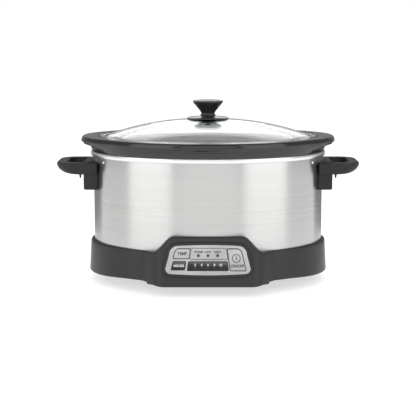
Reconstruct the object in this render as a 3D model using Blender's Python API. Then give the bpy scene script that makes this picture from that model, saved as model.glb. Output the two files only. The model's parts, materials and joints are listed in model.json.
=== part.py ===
"""Oval slow cooker with a lift-out stoneware crock, a glass lid and a push-button timer panel.

Units are metres, +Z is up, the front panel faces -Y, and the origin is on the floor under the centre.
Pieces that touch keep a gap of about 0.3 mm.
"""

import math

import bmesh
import bpy
from mathutils import Matrix, Vector

MM = 0.001
GAP = 0.3 * MM

# Overall size
HALF_WIDTH = 193 * MM           # handle tips
HALF_DEPTH = 124.5 * MM         # crock rim and panel nose
HEIGHT = 231 * MM               # top of the knob

# Oval core that the liner, heater, blanket and shell are offset from
CORE_X = 140 * MM
CORE_Y = 103 * MM
SHELL_OFFSET = 7.5 * MM
SHELL_SKIN = 0.9 * MM

# Levels
BASE_EDGE_Z = 12.5 * MM
BASE_ARCH = 3 * MM
COVER_Z = 15.3 * MM
COVER_THICK = 2.5 * MM
FLANGE_Z = 18.1 * MM
SEAM_Z = 52.5 * MM
NOSE_TOP_Z = 72.5 * MM
LINER_FLOOR_Z = 56 * MM
BEAD_TOP_Z = 168 * MM
RIM_TOP_Z = 186 * MM
LID_SEAT_Z = 181 * MM
LID_TOP_Z = 207.5 * MM

# Base tray
BASE_X_LOW = 154.2 * MM
BASE_Y_LOW = 116 * MM
BASE_X_TOP = 152 * MM
BASE_Y_TOP = 112.4 * MM
BASE_WALL = 2.6 * MM
NOSE_TILT = math.radians(10)
NOSE_FLAT_HALF = 54 * MM
NOSE_BLEND_HALF = 84 * MM
NOSE_TOP_HALF = 42 * MM
NOSE_SHOULDER_HALF = 68 * MM

# Crock
RIM_X = 151 * MM
LUG_REACH = 12 * MM
CROCK_TOP_X = 137 * MM
CROCK_TOP_Y = 100 * MM
CROCK_WALL = 7 * MM
CROCK_FLOOR_Z = 60 * MM
CROCK_TAPER = math.tan(math.radians(3.6))

# Lid
LID_X = 140.6 * MM
LID_Y = 109.6 * MM
LID_FLANGE = 7.5 * MM
GLASS = 4 * MM

# Handles
PAD_FACE_X = 158 * MM
PAD_HALF_Y = 36 * MM
PAD_BOTTOM_Z = 119 * MM
GRIP_TOP_Z = 154 * MM
GRIP_BOTTOM_Z = 139 * MM
GRIP_HALF_Y = 40 * MM
HANDLE_SCREW_Y = 16 * MM
HANDLE_SCREW_Z = 129 * MM

# Control panel, in its own frame: s to the right, t up the face, n out of the face
PANEL_CENTRE_Z = 45 * MM
PLATE_HALF_TOP = 44.5 * MM
PLATE_HALF_BOTTOM = 53.3 * MM
PLATE_HALF_HEIGHT = 16.2 * MM
PLATE_CORNER_TOP = 10 * MM
PLATE_CORNER_BOTTOM = 6 * MM
PLATE_BOW = 2.2 * MM
BEZEL_WIDTH = 3.4 * MM
BUTTON_GAP = 0.35 * MM
TEMP_BOX = (-42.2 * MM, -23.4 * MM, 2.4 * MM, 13.4 * MM)
HOURS_BOX = (-42.0 * MM, -26.4 * MM, -12.0 * MM, -1.4 * MM)
WINDOW_BOX = (-23.6 * MM, 23.2 * MM, -12.8 * MM, -1.6 * MM)
POWER_BOX = (25.6 * MM, 42.6 * MM, -12.2 * MM, 13.2 * MM)
LAMP_SPACING = 11.6 * MM
LAMP_T = 5.5 * MM
LAMP_RADIUS = 1.5 * MM
HOUR_SPACING = 7.8 * MM
HOUR_T = -9.6 * MM
BOARD_N = -8.3 * MM

# Small parts
FOOT_PLACES = [(sx * 70 * MM, sy * 46 * MM) for sx in (-1, 1) for sy in (-1, 1)]
COVER_SCREW_ANGLES = [40, 140, 220, 320]
SENSOR_X = -55 * MM
RIVET_X = 131 * MM
RIVET_Z = 156 * MM

SEGMENTS = 48


def clear_scene():
    for thing in list(bpy.data.objects):
        bpy.data.objects.remove(thing, do_unlink=True)


def material(name, colour, roughness, metallic=0.0):
    mat = bpy.data.materials.new(name)
    mat.use_nodes = True
    shader = mat.node_tree.nodes["Principled BSDF"]
    shader.inputs["Base Color"].default_value = (*colour, 1.0)
    shader.inputs["Roughness"].default_value = roughness
    shader.inputs["Metallic"].default_value = metallic
    return mat


def smoothstep(low, high, value):
    t = min(1.0, max(0.0, (value - low) / (high - low)))
    return t * t * (3.0 - 2.0 * t)


def angles(count=SEGMENTS):
    return [math.tau * i / count for i in range(count)]


def oval(half_x, half_y, z, steps=None):
    return [(half_x * math.cos(a), half_y * math.sin(a), z) for a in steps or angles()]


def core_oval(offset, z):
    return oval(CORE_X + offset, CORE_Y + offset, z)


def object_from_bmesh(name, bm, mat):
    bmesh.ops.recalc_face_normals(bm, faces=bm.faces)
    mesh = bpy.data.meshes.new(name)
    bm.to_mesh(mesh)
    bm.free()
    mesh.shade_smooth()
    mesh.set_sharp_from_angle(angle=math.radians(32))
    obj = bpy.data.objects.new(name, mesh)
    bpy.context.scene.collection.objects.link(obj)
    if mat:
        mesh.materials.append(mat)
    return obj


def loft(name, rings, mat, ring_shaped):
    """Skin a row of point rings. A ring-shaped body closes on itself, any other is capped at both ends."""
    bm = bmesh.new()
    rows = [[bm.verts.new(point) for point in ring] for ring in rings]
    pairs = list(zip(rows, rows[1:]))
    if ring_shaped:
        pairs.append((rows[-1], rows[0]))
    else:
        bm.faces.new(rows[0])
        bm.faces.new(rows[-1])
    for lower, upper in pairs:
        for i in range(len(lower)):
            j = (i + 1) % len(lower)
            bm.faces.new((lower[i], lower[j], upper[j], upper[i]))
    return object_from_bmesh(name, bm, mat)


def turned(name, profile, mat, count=24, ring_shaped=False):
    """Round body about its own Z: profile points are (radius, height)."""
    rings = [oval(radius, radius, z, angles(count)) for radius, z in profile]
    return loft(name, rings, mat, ring_shaped)


def box(name, low, high, mat, bevel=0.0):
    bm = bmesh.new()
    bmesh.ops.create_cube(bm, size=1.0)
    size = Vector(high) - Vector(low)
    bmesh.ops.scale(bm, vec=size, verts=bm.verts)
    obj = object_from_bmesh(name, bm, mat)
    obj.location = (Vector(low) + Vector(high)) / 2
    if bevel:
        rounding = obj.modifiers.new("Rounding", "BEVEL")
        rounding.width = bevel
        rounding.segments = 2
    return obj


def as_cutter(obj):
    obj.hide_render = True
    obj.display_type = "WIRE"
    return obj


def boolean(obj, other, operation):
    step = obj.modifiers.new(operation.title(), "BOOLEAN")
    step.operation = operation
    step.object = as_cutter(other)
    step.solver = "EXACT"


def cut(obj, cutter):
    boolean(obj, cutter, "DIFFERENCE")


def fuse(obj, other):
    boolean(obj, other, "UNION")


def round_cutter(radius, low, high, matrix, count=20):
    tool = turned("hole_tool", [(radius, low), (radius, high)], None, count)
    tool.matrix_world = matrix
    return tool


def facing(place, direction):
    """Matrix that puts an object's own +Z along direction, at place."""
    turn = Vector(direction).to_track_quat("Z", "Y")
    return Matrix.Translation(Vector(place)) @ turn.to_matrix().to_4x4()


# ---------------------------------------------------------------- base

def nose_face_depth(z):
    return HALF_DEPTH - (z - BASE_EDGE_Z) * math.tan(NOSE_TILT)


def base_angles():
    """The common angles, with an extra one between each pair across the front."""
    step = 360 / SEGMENTS
    degrees = []
    for i in range(SEGMENTS):
        degrees.append(i * step)
        if 228 <= i * step < 312:
            degrees.append(i * step + step / 2)
    return [math.radians(d) for d in degrees]


def base_edge_z(x, y):
    arch = smoothstep(150 * MM, 95 * MM, abs(x))
    if y < 0:
        arch *= smoothstep(NOSE_FLAT_HALF, NOSE_BLEND_HALF, abs(x))
    return BASE_EDGE_Z + BASE_ARCH * arch


def base_top_z(x, y):
    rise = smoothstep(NOSE_SHOULDER_HALF, NOSE_TOP_HALF, abs(x)) if y < 0 else 0.0
    return SEAM_Z + (NOSE_TOP_Z - SEAM_Z) * rise


def base_ring(inset, share=None, lift=0.0, level=None, follows_nose=True):
    """One ring of the base wall, at a level, or at a share of the way up from its lower edge plus a lift."""
    taper = share if level is None else (level - BASE_EDGE_Z) / (SEAM_Z - BASE_EDGE_Z)
    ring = []
    for a in base_angles():
        x = (BASE_X_LOW + (BASE_X_TOP - BASE_X_LOW) * taper - inset) * math.cos(a)
        y = (BASE_Y_LOW + (BASE_Y_TOP - BASE_Y_LOW) * taper - inset) * math.sin(a)
        if level is None:
            low = base_edge_z(x, y)
            z = low + (base_top_z(x, y) - low) * share + lift
        else:
            z = level
        if follows_nose and y < 0:
            blend = smoothstep(NOSE_BLEND_HALF, NOSE_FLAT_HALF, abs(x))
            y = -((1 - blend) * -y + blend * (nose_face_depth(z) - inset))
        ring.append((x, y, z))
    return ring


def shell_side_ring(offset, top_edge, z=0.0):
    """A ring of the base that hugs the metal shell, at a fixed height or along the base's top edge."""
    ring = []
    for a in base_angles():
        x = (CORE_X + offset) * math.cos(a)
        y = (CORE_Y + offset) * math.sin(a)
        ring.append((x, y, base_top_z(x, y) if top_edge else z))
    return ring


def make_base_tray(plastic):
    clear = SHELL_OFFSET + 0.4 * MM
    ledge = SHELL_OFFSET - 3.2 * MM
    rings = [
        base_ring(0.6 * MM, share=0.0),
        base_ring(0.0, share=0.0, lift=1.2 * MM),
        base_ring(0.0, share=0.55),
        base_ring(0.1 * MM, share=1.0, lift=-2.2 * MM),
        base_ring(0.6 * MM, share=1.0, lift=-0.5 * MM),
        shell_side_ring(clear, True),
        shell_side_ring(clear, False, SEAM_Z - 2.4 * MM),
        shell_side_ring(ledge, False, SEAM_Z - 2.4 * MM),
        shell_side_ring(ledge, False, SEAM_Z - 4.6 * MM),
        base_ring(BASE_WALL, level=SEAM_Z - 6.5 * MM),
        base_ring(BASE_WALL, level=FLANGE_Z + 2.6 * MM),
        base_ring(13 * MM, level=FLANGE_Z + 2.6 * MM, follows_nose=False),
        base_ring(13 * MM, level=FLANGE_Z, follows_nose=False),
        base_ring(BASE_WALL, level=FLANGE_Z),
        base_ring(BASE_WALL, share=0.0),
    ]
    tray = loft("base_tray", rings, plastic, True)
    cut(tray, panel_prism("pocket_tool", plate_outline(BEZEL_WIDTH + GAP), -14 * MM, 8 * MM, None))
    for place in cover_screw_places():
        cut(tray, round_cutter(1.9 * MM, FLANGE_Z - 1 * MM, FLANGE_Z + 4 * MM, Matrix.Translation(place), 10))
    cut(tray, round_cutter(6.6 * MM, -8 * MM, 8 * MM, gland_matrix()))
    return tray


def cover_screw_places():
    half_x = BASE_X_LOW - 7 * MM
    half_y = BASE_Y_LOW - 7 * MM
    turns = [math.radians(d) for d in COVER_SCREW_ANGLES]
    return [Vector((half_x * math.cos(a), half_y * math.sin(a), 0)) for a in turns]


def make_base_cover(plastic):
    lower = base_ring(BASE_WALL + GAP, level=COVER_Z)
    upper = base_ring(BASE_WALL + GAP, level=COVER_Z + COVER_THICK)
    cover = loft("base_cover", [lower, upper], plastic, False)
    for x in (28 * MM, 92 * MM):
        for y in (-58 * MM, -22 * MM):
            boss = turned("boss_tool", [(3 * MM, COVER_Z + 1 * MM), (2.4 * MM, COVER_Z + 8.4 * MM)], None, 12)
            boss.location = (x, y, 0)
            fuse(cover, boss)
    for place in cover_screw_places():
        cut(cover, round_cutter(1.9 * MM, 0, 24 * MM, Matrix.Translation(place), 10))
    for x, y in FOOT_PLACES:
        cut(cover, round_cutter(3.2 * MM, 0, 24 * MM, Matrix.Translation((x, y, 0)), 12))
    cut(cover, round_cutter(2.4 * MM, 0, 24 * MM, Matrix.Identity(4), 12))
    return cover


def make_feet(rubber):
    names = ["foot_left_front", "foot_left_rear", "foot_right_front", "foot_right_rear"]
    top = COVER_Z - GAP
    profile = [(7 * MM, 0), (8 * MM, 1 * MM), (8.6 * MM, top), (2.7 * MM, top), (2.7 * MM, top + 4.5 * MM)]
    for name, (x, y) in zip(names, FOOT_PLACES):
        foot = turned(name, profile, rubber, 20)
        foot.location = (x, y, 0)


def make_cover_screws(steel):
    head = COVER_Z - GAP
    profile = [(3 * MM, head - 1.6 * MM), (3 * MM, head), (1.5 * MM, head), (1.5 * MM, FLANGE_Z + 4 * MM)]
    for number, place in enumerate(cover_screw_places(), 1):
        screw = turned(f"cover_screw_{number}", profile, steel, 12)
        screw.location = place


# ---------------------------------------------------------------- shell, liner and what is between them

def make_outer_shell(steel):
    inner = SHELL_OFFSET - SHELL_SKIN
    low = SEAM_Z - 2.1 * MM
    high = 163.2 * MM
    section = [(SHELL_OFFSET, low), (SHELL_OFFSET, high), (inner, high), (inner, low)]
    rings = [core_oval(offset, z) for offset, z in section]
    shell = loft("outer_shell", rings, steel, True)
    cut(shell, box("notch_tool", (-48.5 * MM, -130 * MM, 30 * MM), (48.5 * MM, -85 * MM, 67.5 * MM), None))
    for side in (-1, 1):
        for y in (-HANDLE_SCREW_Y, HANDLE_SCREW_Y):
            place = (side * CORE_X, y, HANDLE_SCREW_Z)
            cut(shell, round_cutter(2.3 * MM, 0, 12 * MM, facing(place, (side, 0, 0)), 12))
        cut(shell, round_cutter(1.3 * MM, -4 * MM, 3 * MM, rivet_matrix(side), 10))
    return shell


def rivet_matrix(side):
    half_x = CORE_X + SHELL_OFFSET
    half_y = CORE_Y + SHELL_OFFSET
    a = math.acos(RIVET_X / half_x)
    x = side * RIVET_X
    y = -half_y * math.sin(a)
    normal = Vector((x / half_x ** 2, y / half_y ** 2, 0)).normalized()
    return facing((x, y, RIVET_Z), normal)


def make_rivets(chrome):
    profile = [
        (0.9 * MM, -2.5 * MM), (0.9 * MM, GAP), (1.9 * MM, GAP), (1.7 * MM, 0.9 * MM),
        (0.8 * MM, 1.3 * MM),
    ]
    for name, side in (("shell_rivet_left", -1), ("shell_rivet_right", 1)):
        rivet = turned(name, profile, chrome, 14)
        rivet.matrix_world = rivet_matrix(side)


def make_heating_liner(aluminium):
    skin = 0.5 * MM
    bead = 11 * MM
    floor = LINER_FLOOR_Z
    rim = [
        (-skin, floor + 8 * MM), (-skin, 160 * MM), (1.6 * MM, 166 * MM), (5.6 * MM, BEAD_TOP_Z),
        (9.2 * MM, 167.2 * MM), (bead, 164.8 * MM), (10.4 * MM, 161.4 * MM), (8.7 * MM, 161.4 * MM),
        (9.6 * MM, 164.6 * MM), (6.2 * MM, 167 * MM), (2.6 * MM, 165.2 * MM), (skin, 160 * MM),
        (skin, floor + 8 * MM),
    ]
    rings = [core_oval(offset, z) for offset, z in rim]
    rings.append(core_oval(-1.6 * MM, floor + 3 * MM))
    rings.append(core_oval(-7 * MM, floor))
    rings.append(oval(3 * MM, 3 * MM, floor))
    inside = [
        oval(3 * MM, 3 * MM, floor + 1 * MM),
        core_oval(-7.6 * MM, floor + 1 * MM),
        core_oval(-2.6 * MM, floor + 3.6 * MM),
    ]
    liner = loft("heating_liner", inside + rings, aluminium, True)
    place = Matrix.Translation((SENSOR_X, 0, floor))
    cut(liner, round_cutter(10.6 * MM, -4 * MM, 4 * MM, place))
    return liner


def make_oval_band(name, inner, outer, low, high, mat):
    rings = [core_oval(outer, low), core_oval(outer, high), core_oval(inner, high), core_oval(inner, low)]
    return loft(name, rings, mat, True)


def make_heat_shield(steel):
    z = 46 * MM
    thick = 0.8 * MM
    lip = 4 * MM
    edge_x = 124 * MM
    edge_y = 87 * MM
    rings = [
        oval(2.6 * MM, 2.6 * MM, z), oval(edge_x - 3 * MM, edge_y - 3 * MM, z), oval(edge_x, edge_y, z + lip),
        oval(edge_x - thick, edge_y - thick, z + lip), oval(edge_x - 3.6 * MM, edge_y - 3.6 * MM, z + thick),
        oval(2.6 * MM, 2.6 * MM, z + thick),
    ]
    return loft("heat_shield", rings, steel, True)


def make_sensor(aluminium, steel):
    low = 53.2 * MM
    cup = [(9.5 * MM, low), (9.5 * MM, 59 * MM), (8.8 * MM, 59.6 * MM), (1 * MM, 59.6 * MM), (1 * MM, low)]
    part = turned("sensor_cup", cup, aluminium, 24, True)
    part.location = (SENSOR_X, 0, 0)
    make_spring("sensor_spring", steel, (SENSOR_X, 0, 47.3 * MM), 5.5 * MM, 0.45 * MM, 5.0 * MM, 3)


def make_spring(name, mat, place, coil_radius, wire, height, turns):
    points = []
    steps = turns * 10
    for i in range(steps + 1):
        a = math.tau * turns * i / steps
        points.append((coil_radius * math.cos(a), coil_radius * math.sin(a), wire + height * i / steps))
    curve = bpy.data.curves.new(name, "CURVE")
    curve.dimensions = "3D"
    curve.bevel_depth = wire
    curve.bevel_resolution = 0
    curve.use_fill_caps = True
    line = curve.splines.new("POLY")
    line.points.add(len(points) - 1)
    for slot, point in zip(line.points, points):
        slot.co = (*point, 1.0)
    curve.materials.append(mat)
    obj = bpy.data.objects.new(name, curve)
    obj.location = place
    bpy.context.scene.collection.objects.link(obj)


def make_stud_and_nut(steel):
    turned("liner_stud", [(2 * MM, COVER_Z - 4.7 * MM), (2 * MM, LINER_FLOOR_Z + 4 * MM - 1.4 * MM)], steel, 14)
    top = COVER_Z - GAP
    profile = [(2.3 * MM, top - 3 * MM), (4 * MM, top - 3 * MM), (4 * MM, top), (2.3 * MM, top)]
    turned("liner_nut", profile, steel, 6, True)


# ---------------------------------------------------------------- crock and lid

def rim_ring(half_x, half_y, z, lug):
    """A ring of the crock's rim. Lug is the share of the end lugs' reach at this level."""
    ring = []
    for a in angles():
        reach = lug * LUG_REACH * smoothstep(0.80, 0.99, abs(math.cos(a)))
        ring.append(((half_x + reach) * math.cos(a), half_y * math.sin(a), z))
    return ring


def make_crock(stoneware):
    low = BEAD_TOP_Z + GAP
    drop = low - CROCK_FLOOR_Z - 8 * MM
    foot_x = CROCK_TOP_X - drop * CROCK_TAPER
    foot_y = CROCK_TOP_Y - drop * CROCK_TAPER
    in_x = CROCK_TOP_X - CROCK_WALL
    in_y = CROCK_TOP_Y - CROCK_WALL
    inner_foot_x = in_x - drop * CROCK_TAPER
    inner_foot_y = in_y - drop * CROCK_TAPER
    seat = LID_SEAT_Z
    top = RIM_TOP_Z
    rings = [
        oval(foot_x - 9 * MM, foot_y - 9 * MM, CROCK_FLOOR_Z),
        oval(foot_x - 3 * MM, foot_y - 3 * MM, CROCK_FLOOR_Z + 2 * MM),
        oval(foot_x, foot_y, CROCK_FLOOR_Z + 8 * MM),
        oval(CROCK_TOP_X, CROCK_TOP_Y, low),
        rim_ring(RIM_X - 1.2 * MM, HALF_DEPTH - 1.6 * MM, low, 0.0),
        rim_ring(RIM_X, HALF_DEPTH - 0.3 * MM, low + 8 * MM, 0.68),
        rim_ring(RIM_X, HALF_DEPTH, low + 11 * MM, 1.0),
        rim_ring(RIM_X - 0.5 * MM, HALF_DEPTH - 0.5 * MM, top - 2.2 * MM, 1.0),
        rim_ring(RIM_X - 4.5 * MM, HALF_DEPTH - 4.6 * MM, top, 0.8),
        oval(LID_X + 2.2 * MM, LID_Y + 2.2 * MM, top - 0.2 * MM),
        oval(LID_X + 0.7 * MM, LID_Y + 0.7 * MM, seat),
        oval(in_x + 1.6 * MM, in_y + 1.6 * MM, seat),
        oval(in_x, in_y, seat - 2 * MM),
        oval(inner_foot_x, inner_foot_y, CROCK_FLOOR_Z + 18 * MM),
        oval(inner_foot_x - 3.5 * MM, inner_foot_y - 3.5 * MM, CROCK_FLOOR_Z + 11 * MM),
        oval(inner_foot_x - 11 * MM, inner_foot_y - 11 * MM, CROCK_FLOOR_Z + 8 * MM),
    ]
    return loft("crock", rings, stoneware, False)


def make_lid_glass(glass):
    """Flat flange round the edge and a shallow dome, with a hole for the knob's screw."""
    flange_low = LID_SEAT_Z + GAP
    flange_top = flange_low + GLASS
    dome_x = LID_X - LID_FLANGE
    dome_y = LID_Y - LID_FLANGE
    rise = LID_TOP_Z - flange_top
    hole = 3.2 * MM

    def dome(shift):
        rows = []
        for share in (0.97, 0.82, 0.55, 0.25):
            z = flange_top + rise * (1 - share ** 2.2) - shift
            rows.append(oval(dome_x * share, dome_y * share, z))
        return rows

    over = [
        oval(LID_X - 1.0 * MM, LID_Y - 1.0 * MM, flange_low),
        oval(LID_X, LID_Y, flange_low + 1.2 * MM),
        oval(LID_X, LID_Y, flange_top - 1.2 * MM),
        oval(LID_X - 1.2 * MM, LID_Y - 1.2 * MM, flange_top),
        oval(dome_x + 1.5 * MM, dome_y + 1.5 * MM, flange_top),
    ]
    rings = over + dome(0.0)
    rings.append(oval(hole, hole, LID_TOP_Z))
    rings.append(oval(hole, hole, LID_TOP_Z - GLASS))
    rings += list(reversed(dome(GLASS)))
    return loft("lid_glass", rings, glass, True)


def make_knob(plastic, rubber, steel):
    top = HEIGHT
    low = LID_TOP_Z + 3.4 * MM
    bore = 2.7 * MM
    knob = [
        (bore, low), (10.5 * MM, low), (9.2 * MM, low + 1.6 * MM), (8.5 * MM, low + 3.2 * MM),
        (10.6 * MM, low + 6.4 * MM), (17.6 * MM, low + 15 * MM), (19.3 * MM, low + 17.6 * MM),
        (19.45 * MM, low + 18.6 * MM), (18.4 * MM, top - 0.7 * MM), (15 * MM, top - 0.15 * MM), (2 * MM, top),
    ]
    rings = [oval(r, r, z, angles(32)) for r, z in knob]
    part = loft("lid_knob", rings, plastic, False)
    depth = low + 12 * MM
    cut(part, round_cutter(bore + 0.01 * MM, low - 1 * MM, depth, Matrix.Identity(4), 16))
    base = LID_TOP_Z + GAP
    skirt = [
        (bore, base), (24 * MM, base), (26.6 * MM, base - 0.5 * MM), (27 * MM, base + 0.2 * MM),
        (25 * MM, base + 1.5 * MM), (14 * MM, base + 2.5 * MM), (12 * MM, base + 2.8 * MM),
        (bore, base + 2.8 * MM),
    ]
    turned("knob_skirt", skirt, plastic, 36, True)
    under = LID_TOP_Z - GLASS - GAP
    washer = [(bore, under - 1.5 * MM), (8 * MM, under - 1.5 * MM), (8 * MM, under), (bore, under)]
    turned("knob_gasket", washer, rubber, 24, True)
    head = under - 1.5 * MM - GAP
    screw = [(4.2 * MM, head - 2.6 * MM), (5 * MM, head - 1.8 * MM), (5 * MM, head), (2.3 * MM, head)]
    turned("knob_screw", screw + [(2.3 * MM, depth - 0.6 * MM)], steel, 16)


# ---------------------------------------------------------------- handles

def loop_outline(x_in, x_out, half_y, corner, count=6):
    """Plan outline of the grip: square at the shell side, rounded at the outer end."""
    points = []
    for centre_x, centre_y, start, radius in (
        (x_out - corner, half_y - corner, 0, corner), (x_in + 2 * MM, half_y - 2 * MM, 90, 2 * MM),
        (x_in + 2 * MM, -half_y + 2 * MM, 180, 2 * MM), (x_out - corner, -half_y + corner, 270, corner),
    ):
        for i in range(count + 1):
            a = math.radians(start + 90 * i / count)
            points.append((centre_x + radius * math.cos(a), centre_y + radius * math.sin(a)))
    return points


def make_handle(name, side, plastic):
    def ring(x_in, x_out, half_y, corner, z):
        return [(side * x, y, z) for x, y in loop_outline(x_in, x_out, half_y, corner)]

    back = CORE_X
    tip = HALF_WIDTH
    low = GRIP_BOTTOM_Z
    top = GRIP_TOP_Z
    half = GRIP_HALF_Y
    rings = [
        ring(back, tip - 12 * MM, half - 3 * MM, 15 * MM, low),
        ring(back, tip - 4 * MM, half - 0.6 * MM, 18 * MM, low + 4 * MM),
        ring(back, tip, half, 20 * MM, low + 10 * MM),
        ring(back, tip - 0.6 * MM, half - 0.3 * MM, 20 * MM, top - 1 * MM),
        ring(back, tip - 2 * MM, half - 1.6 * MM, 19 * MM, top),
        ring(PAD_FACE_X - 0.2 * MM, tip - 10.5 * MM, half - 9.5 * MM, 11 * MM, top),
        ring(PAD_FACE_X, tip - 12 * MM, half - 11 * MM, 10 * MM, top - 2 * MM),
        ring(PAD_FACE_X, tip - 14 * MM, half - 11 * MM, 9 * MM, low),
    ]
    handle = loft(name, rings, plastic, True)
    inner, outer = sorted((side * (CORE_X - 1 * MM), side * PAD_FACE_X))
    pad_low = (inner, -PAD_HALF_Y, PAD_BOTTOM_Z)
    pad_high = (outer, PAD_HALF_Y, top - 0.4 * MM)
    pad = box("pad_tool", pad_low, pad_high, None, 2.5 * MM)
    fuse(handle, pad)
    for y in (-33 * MM, 33 * MM):
        peg = turned("peg_tool", [(0.8 * MM, low - 5 * MM), (1.9 * MM, low + 3 * MM)], None, 10)
        peg.location = (side * 162 * MM, y, 0)
        fuse(handle, peg)
    clear = SHELL_OFFSET + GAP
    cut(handle, loft("shell_tool", [core_oval(clear, 90 * MM), core_oval(clear, 180 * MM)], None, False))
    for y in (-HANDLE_SCREW_Y, HANDLE_SCREW_Y):
        line = facing((side * CORE_X, y, HANDLE_SCREW_Z), (side, 0, 0))
        cut(handle, round_cutter(2.3 * MM, 0, 30 * MM, line, 12))
        cut(handle, round_cutter(4 * MM, 14.6 * MM, 30 * MM, line, 16))
    return handle


def make_handle_screws(steel):
    places = [("left", -1), ("right", 1)]
    profile = [(1.9 * MM, 3.6 * MM), (1.9 * MM, 14.9 * MM), (3.6 * MM, 14.9 * MM), (3.4 * MM, 16.6 * MM),
               (2 * MM, 17.4 * MM)]
    for word, side in places:
        for end, y in (("front", -HANDLE_SCREW_Y), ("rear", HANDLE_SCREW_Y)):
            screw = turned(f"handle_screw_{word}_{end}", profile, steel, 14)
            screw.matrix_world = facing((side * CORE_X, y, HANDLE_SCREW_Z), (side, 0, 0))


# ---------------------------------------------------------------- control panel

def panel_matrix():
    """Panel frame: X is s, Y is t and Z is n."""
    right = Vector((1, 0, 0))
    up = Vector((0, math.sin(NOSE_TILT), math.cos(NOSE_TILT)))
    out = right.cross(up)
    place = Vector((0, -nose_face_depth(PANEL_CENTRE_Z), PANEL_CENTRE_Z))
    turn = Matrix((right, up, out)).transposed().to_4x4()
    return Matrix.Translation(place) @ turn


def plate_outline(grow=0.0, count=5):
    """Round-cornered trapezoid with gently bowed top and bottom edges."""
    half_t = PLATE_HALF_HEIGHT + grow
    slope = (PLATE_HALF_BOTTOM - PLATE_HALF_TOP) / (2 * PLATE_HALF_HEIGHT)
    points = []
    for sign_s, sign_t, start in ((1, 1, 0), (-1, 1, 90), (-1, -1, 180), (1, -1, 270)):
        radius = grow + (PLATE_CORNER_TOP if sign_t > 0 else PLATE_CORNER_BOTTOM)
        centre_t = sign_t * (half_t - radius)
        half_s = PLATE_HALF_TOP + grow + slope * (PLATE_HALF_HEIGHT - centre_t)
        for i in range(count + 1):
            a = math.radians(start + 90 * i / count)
            s = sign_s * (half_s - radius) + radius * math.cos(a)
            t = centre_t + radius * math.sin(a)
            points.append((s, t))
        if sign_s == sign_t:
            reach = half_s - radius
            points += [(sign_s * reach * k, sign_t * half_t) for k in (0.6, 0.2, -0.2, -0.6)]
    widest = PLATE_HALF_BOTTOM
    return [(s, t + math.copysign(PLATE_BOW * (1 - min(1.0, abs(s) / widest) ** 2), t) * (abs(t) / half_t))
            for s, t in points]


def panel_prism(name, outline, low, high, mat):
    rings = [[(s, t, n) for s, t in outline] for n in (low, high)]
    obj = loft(name, rings, mat, False)
    obj.matrix_world = panel_matrix()
    return obj


def rounded_rectangle(edges, corner, grow=0.0, count=3):
    """Round-cornered panel shape whose sides fan out towards the bottom as the plate's do."""
    fan = (PLATE_HALF_BOTTOM - PLATE_HALF_TOP) / (PLATE_HALF_BOTTOM + PLATE_HALF_TOP) / PLATE_HALF_HEIGHT
    left, right, low, high = edges
    points = []
    radius = corner + grow
    for s, t, start in ((right, high, 0), (left, high, 90), (left, low, 180), (right, low, 270)):
        centre_s = s - math.copysign(corner, s - (left + right) / 2)
        centre_t = t - math.copysign(corner, t - (low + high) / 2)
        for i in range(count + 1):
            a = math.radians(start + 90 * i / count)
            t_point = centre_t + radius * math.sin(a)
            points.append(((centre_s + radius * math.cos(a)) * (1 - fan * t_point), t_point))
    return points


def make_bezel(plastic):
    rings = []
    for grow, n in (
        (BEZEL_WIDTH, -4.5 * MM), (BEZEL_WIDTH, 0.4 * MM), (BEZEL_WIDTH - 0.7 * MM, 1.0 * MM),
        (GAP + 0.5 * MM, 1.0 * MM),
        (GAP, 0.6 * MM), (GAP, -1.3 * MM), (-1.9 * MM, -1.3 * MM), (-1.9 * MM, -4.5 * MM),
    ):
        rings.append([(s, t, n) for s, t in plate_outline(grow)])
    bezel = loft("control_bezel", rings, plastic, True)
    bezel.matrix_world = panel_matrix()


def make_plate(silver):
    plate = panel_prism("panel_plate", plate_outline(), -1.0 * MM, 0.3 * MM, silver)
    for edges in (TEMP_BOX, HOURS_BOX, POWER_BOX, WINDOW_BOX):
        outline = rounded_rectangle(edges, 1.2 * MM, BUTTON_GAP)
        cut(plate, panel_prism("slot_tool", outline, -5 * MM, 5 * MM, None))
    for s in (-LAMP_SPACING, 0, LAMP_SPACING):
        place = panel_matrix() @ Matrix.Translation((s, LAMP_T, 0))
        cut(plate, round_cutter(LAMP_RADIUS + GAP, -5 * MM, 5 * MM, place, 14))


def make_button(word, edges, mat, dark, board):
    """Cap, switch plunger behind it, and the switch body on the panel board."""
    middle_s = (edges[0] + edges[1]) / 2
    middle_t = (edges[2] + edges[3]) / 2
    frame = panel_matrix() @ Matrix.Translation((middle_s, middle_t, 0))

    def ring(grow, n):
        return [(s - middle_s, t - middle_t, n) for s, t in rounded_rectangle(edges, 1.2 * MM, grow)]

    rings = [ring(0, -2.2 * MM), ring(0, 0.6 * MM), ring(-0.3 * MM, 0.9 * MM)]
    cap = loft(f"{word}_button", rings, mat, False)
    cap.matrix_world = frame
    plunger = turned(f"{word}_switch_plunger", [(1.6 * MM, -4.1 * MM), (1.6 * MM, -2.5 * MM)], dark, 14)
    plunger.matrix_world = frame
    body = box(f"{word}_switch", (-3 * MM, -3 * MM, BOARD_N + GAP), (3 * MM, 3 * MM, -4.9 * MM), board)
    body.matrix_world = frame @ Matrix.Translation(body.location)


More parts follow.
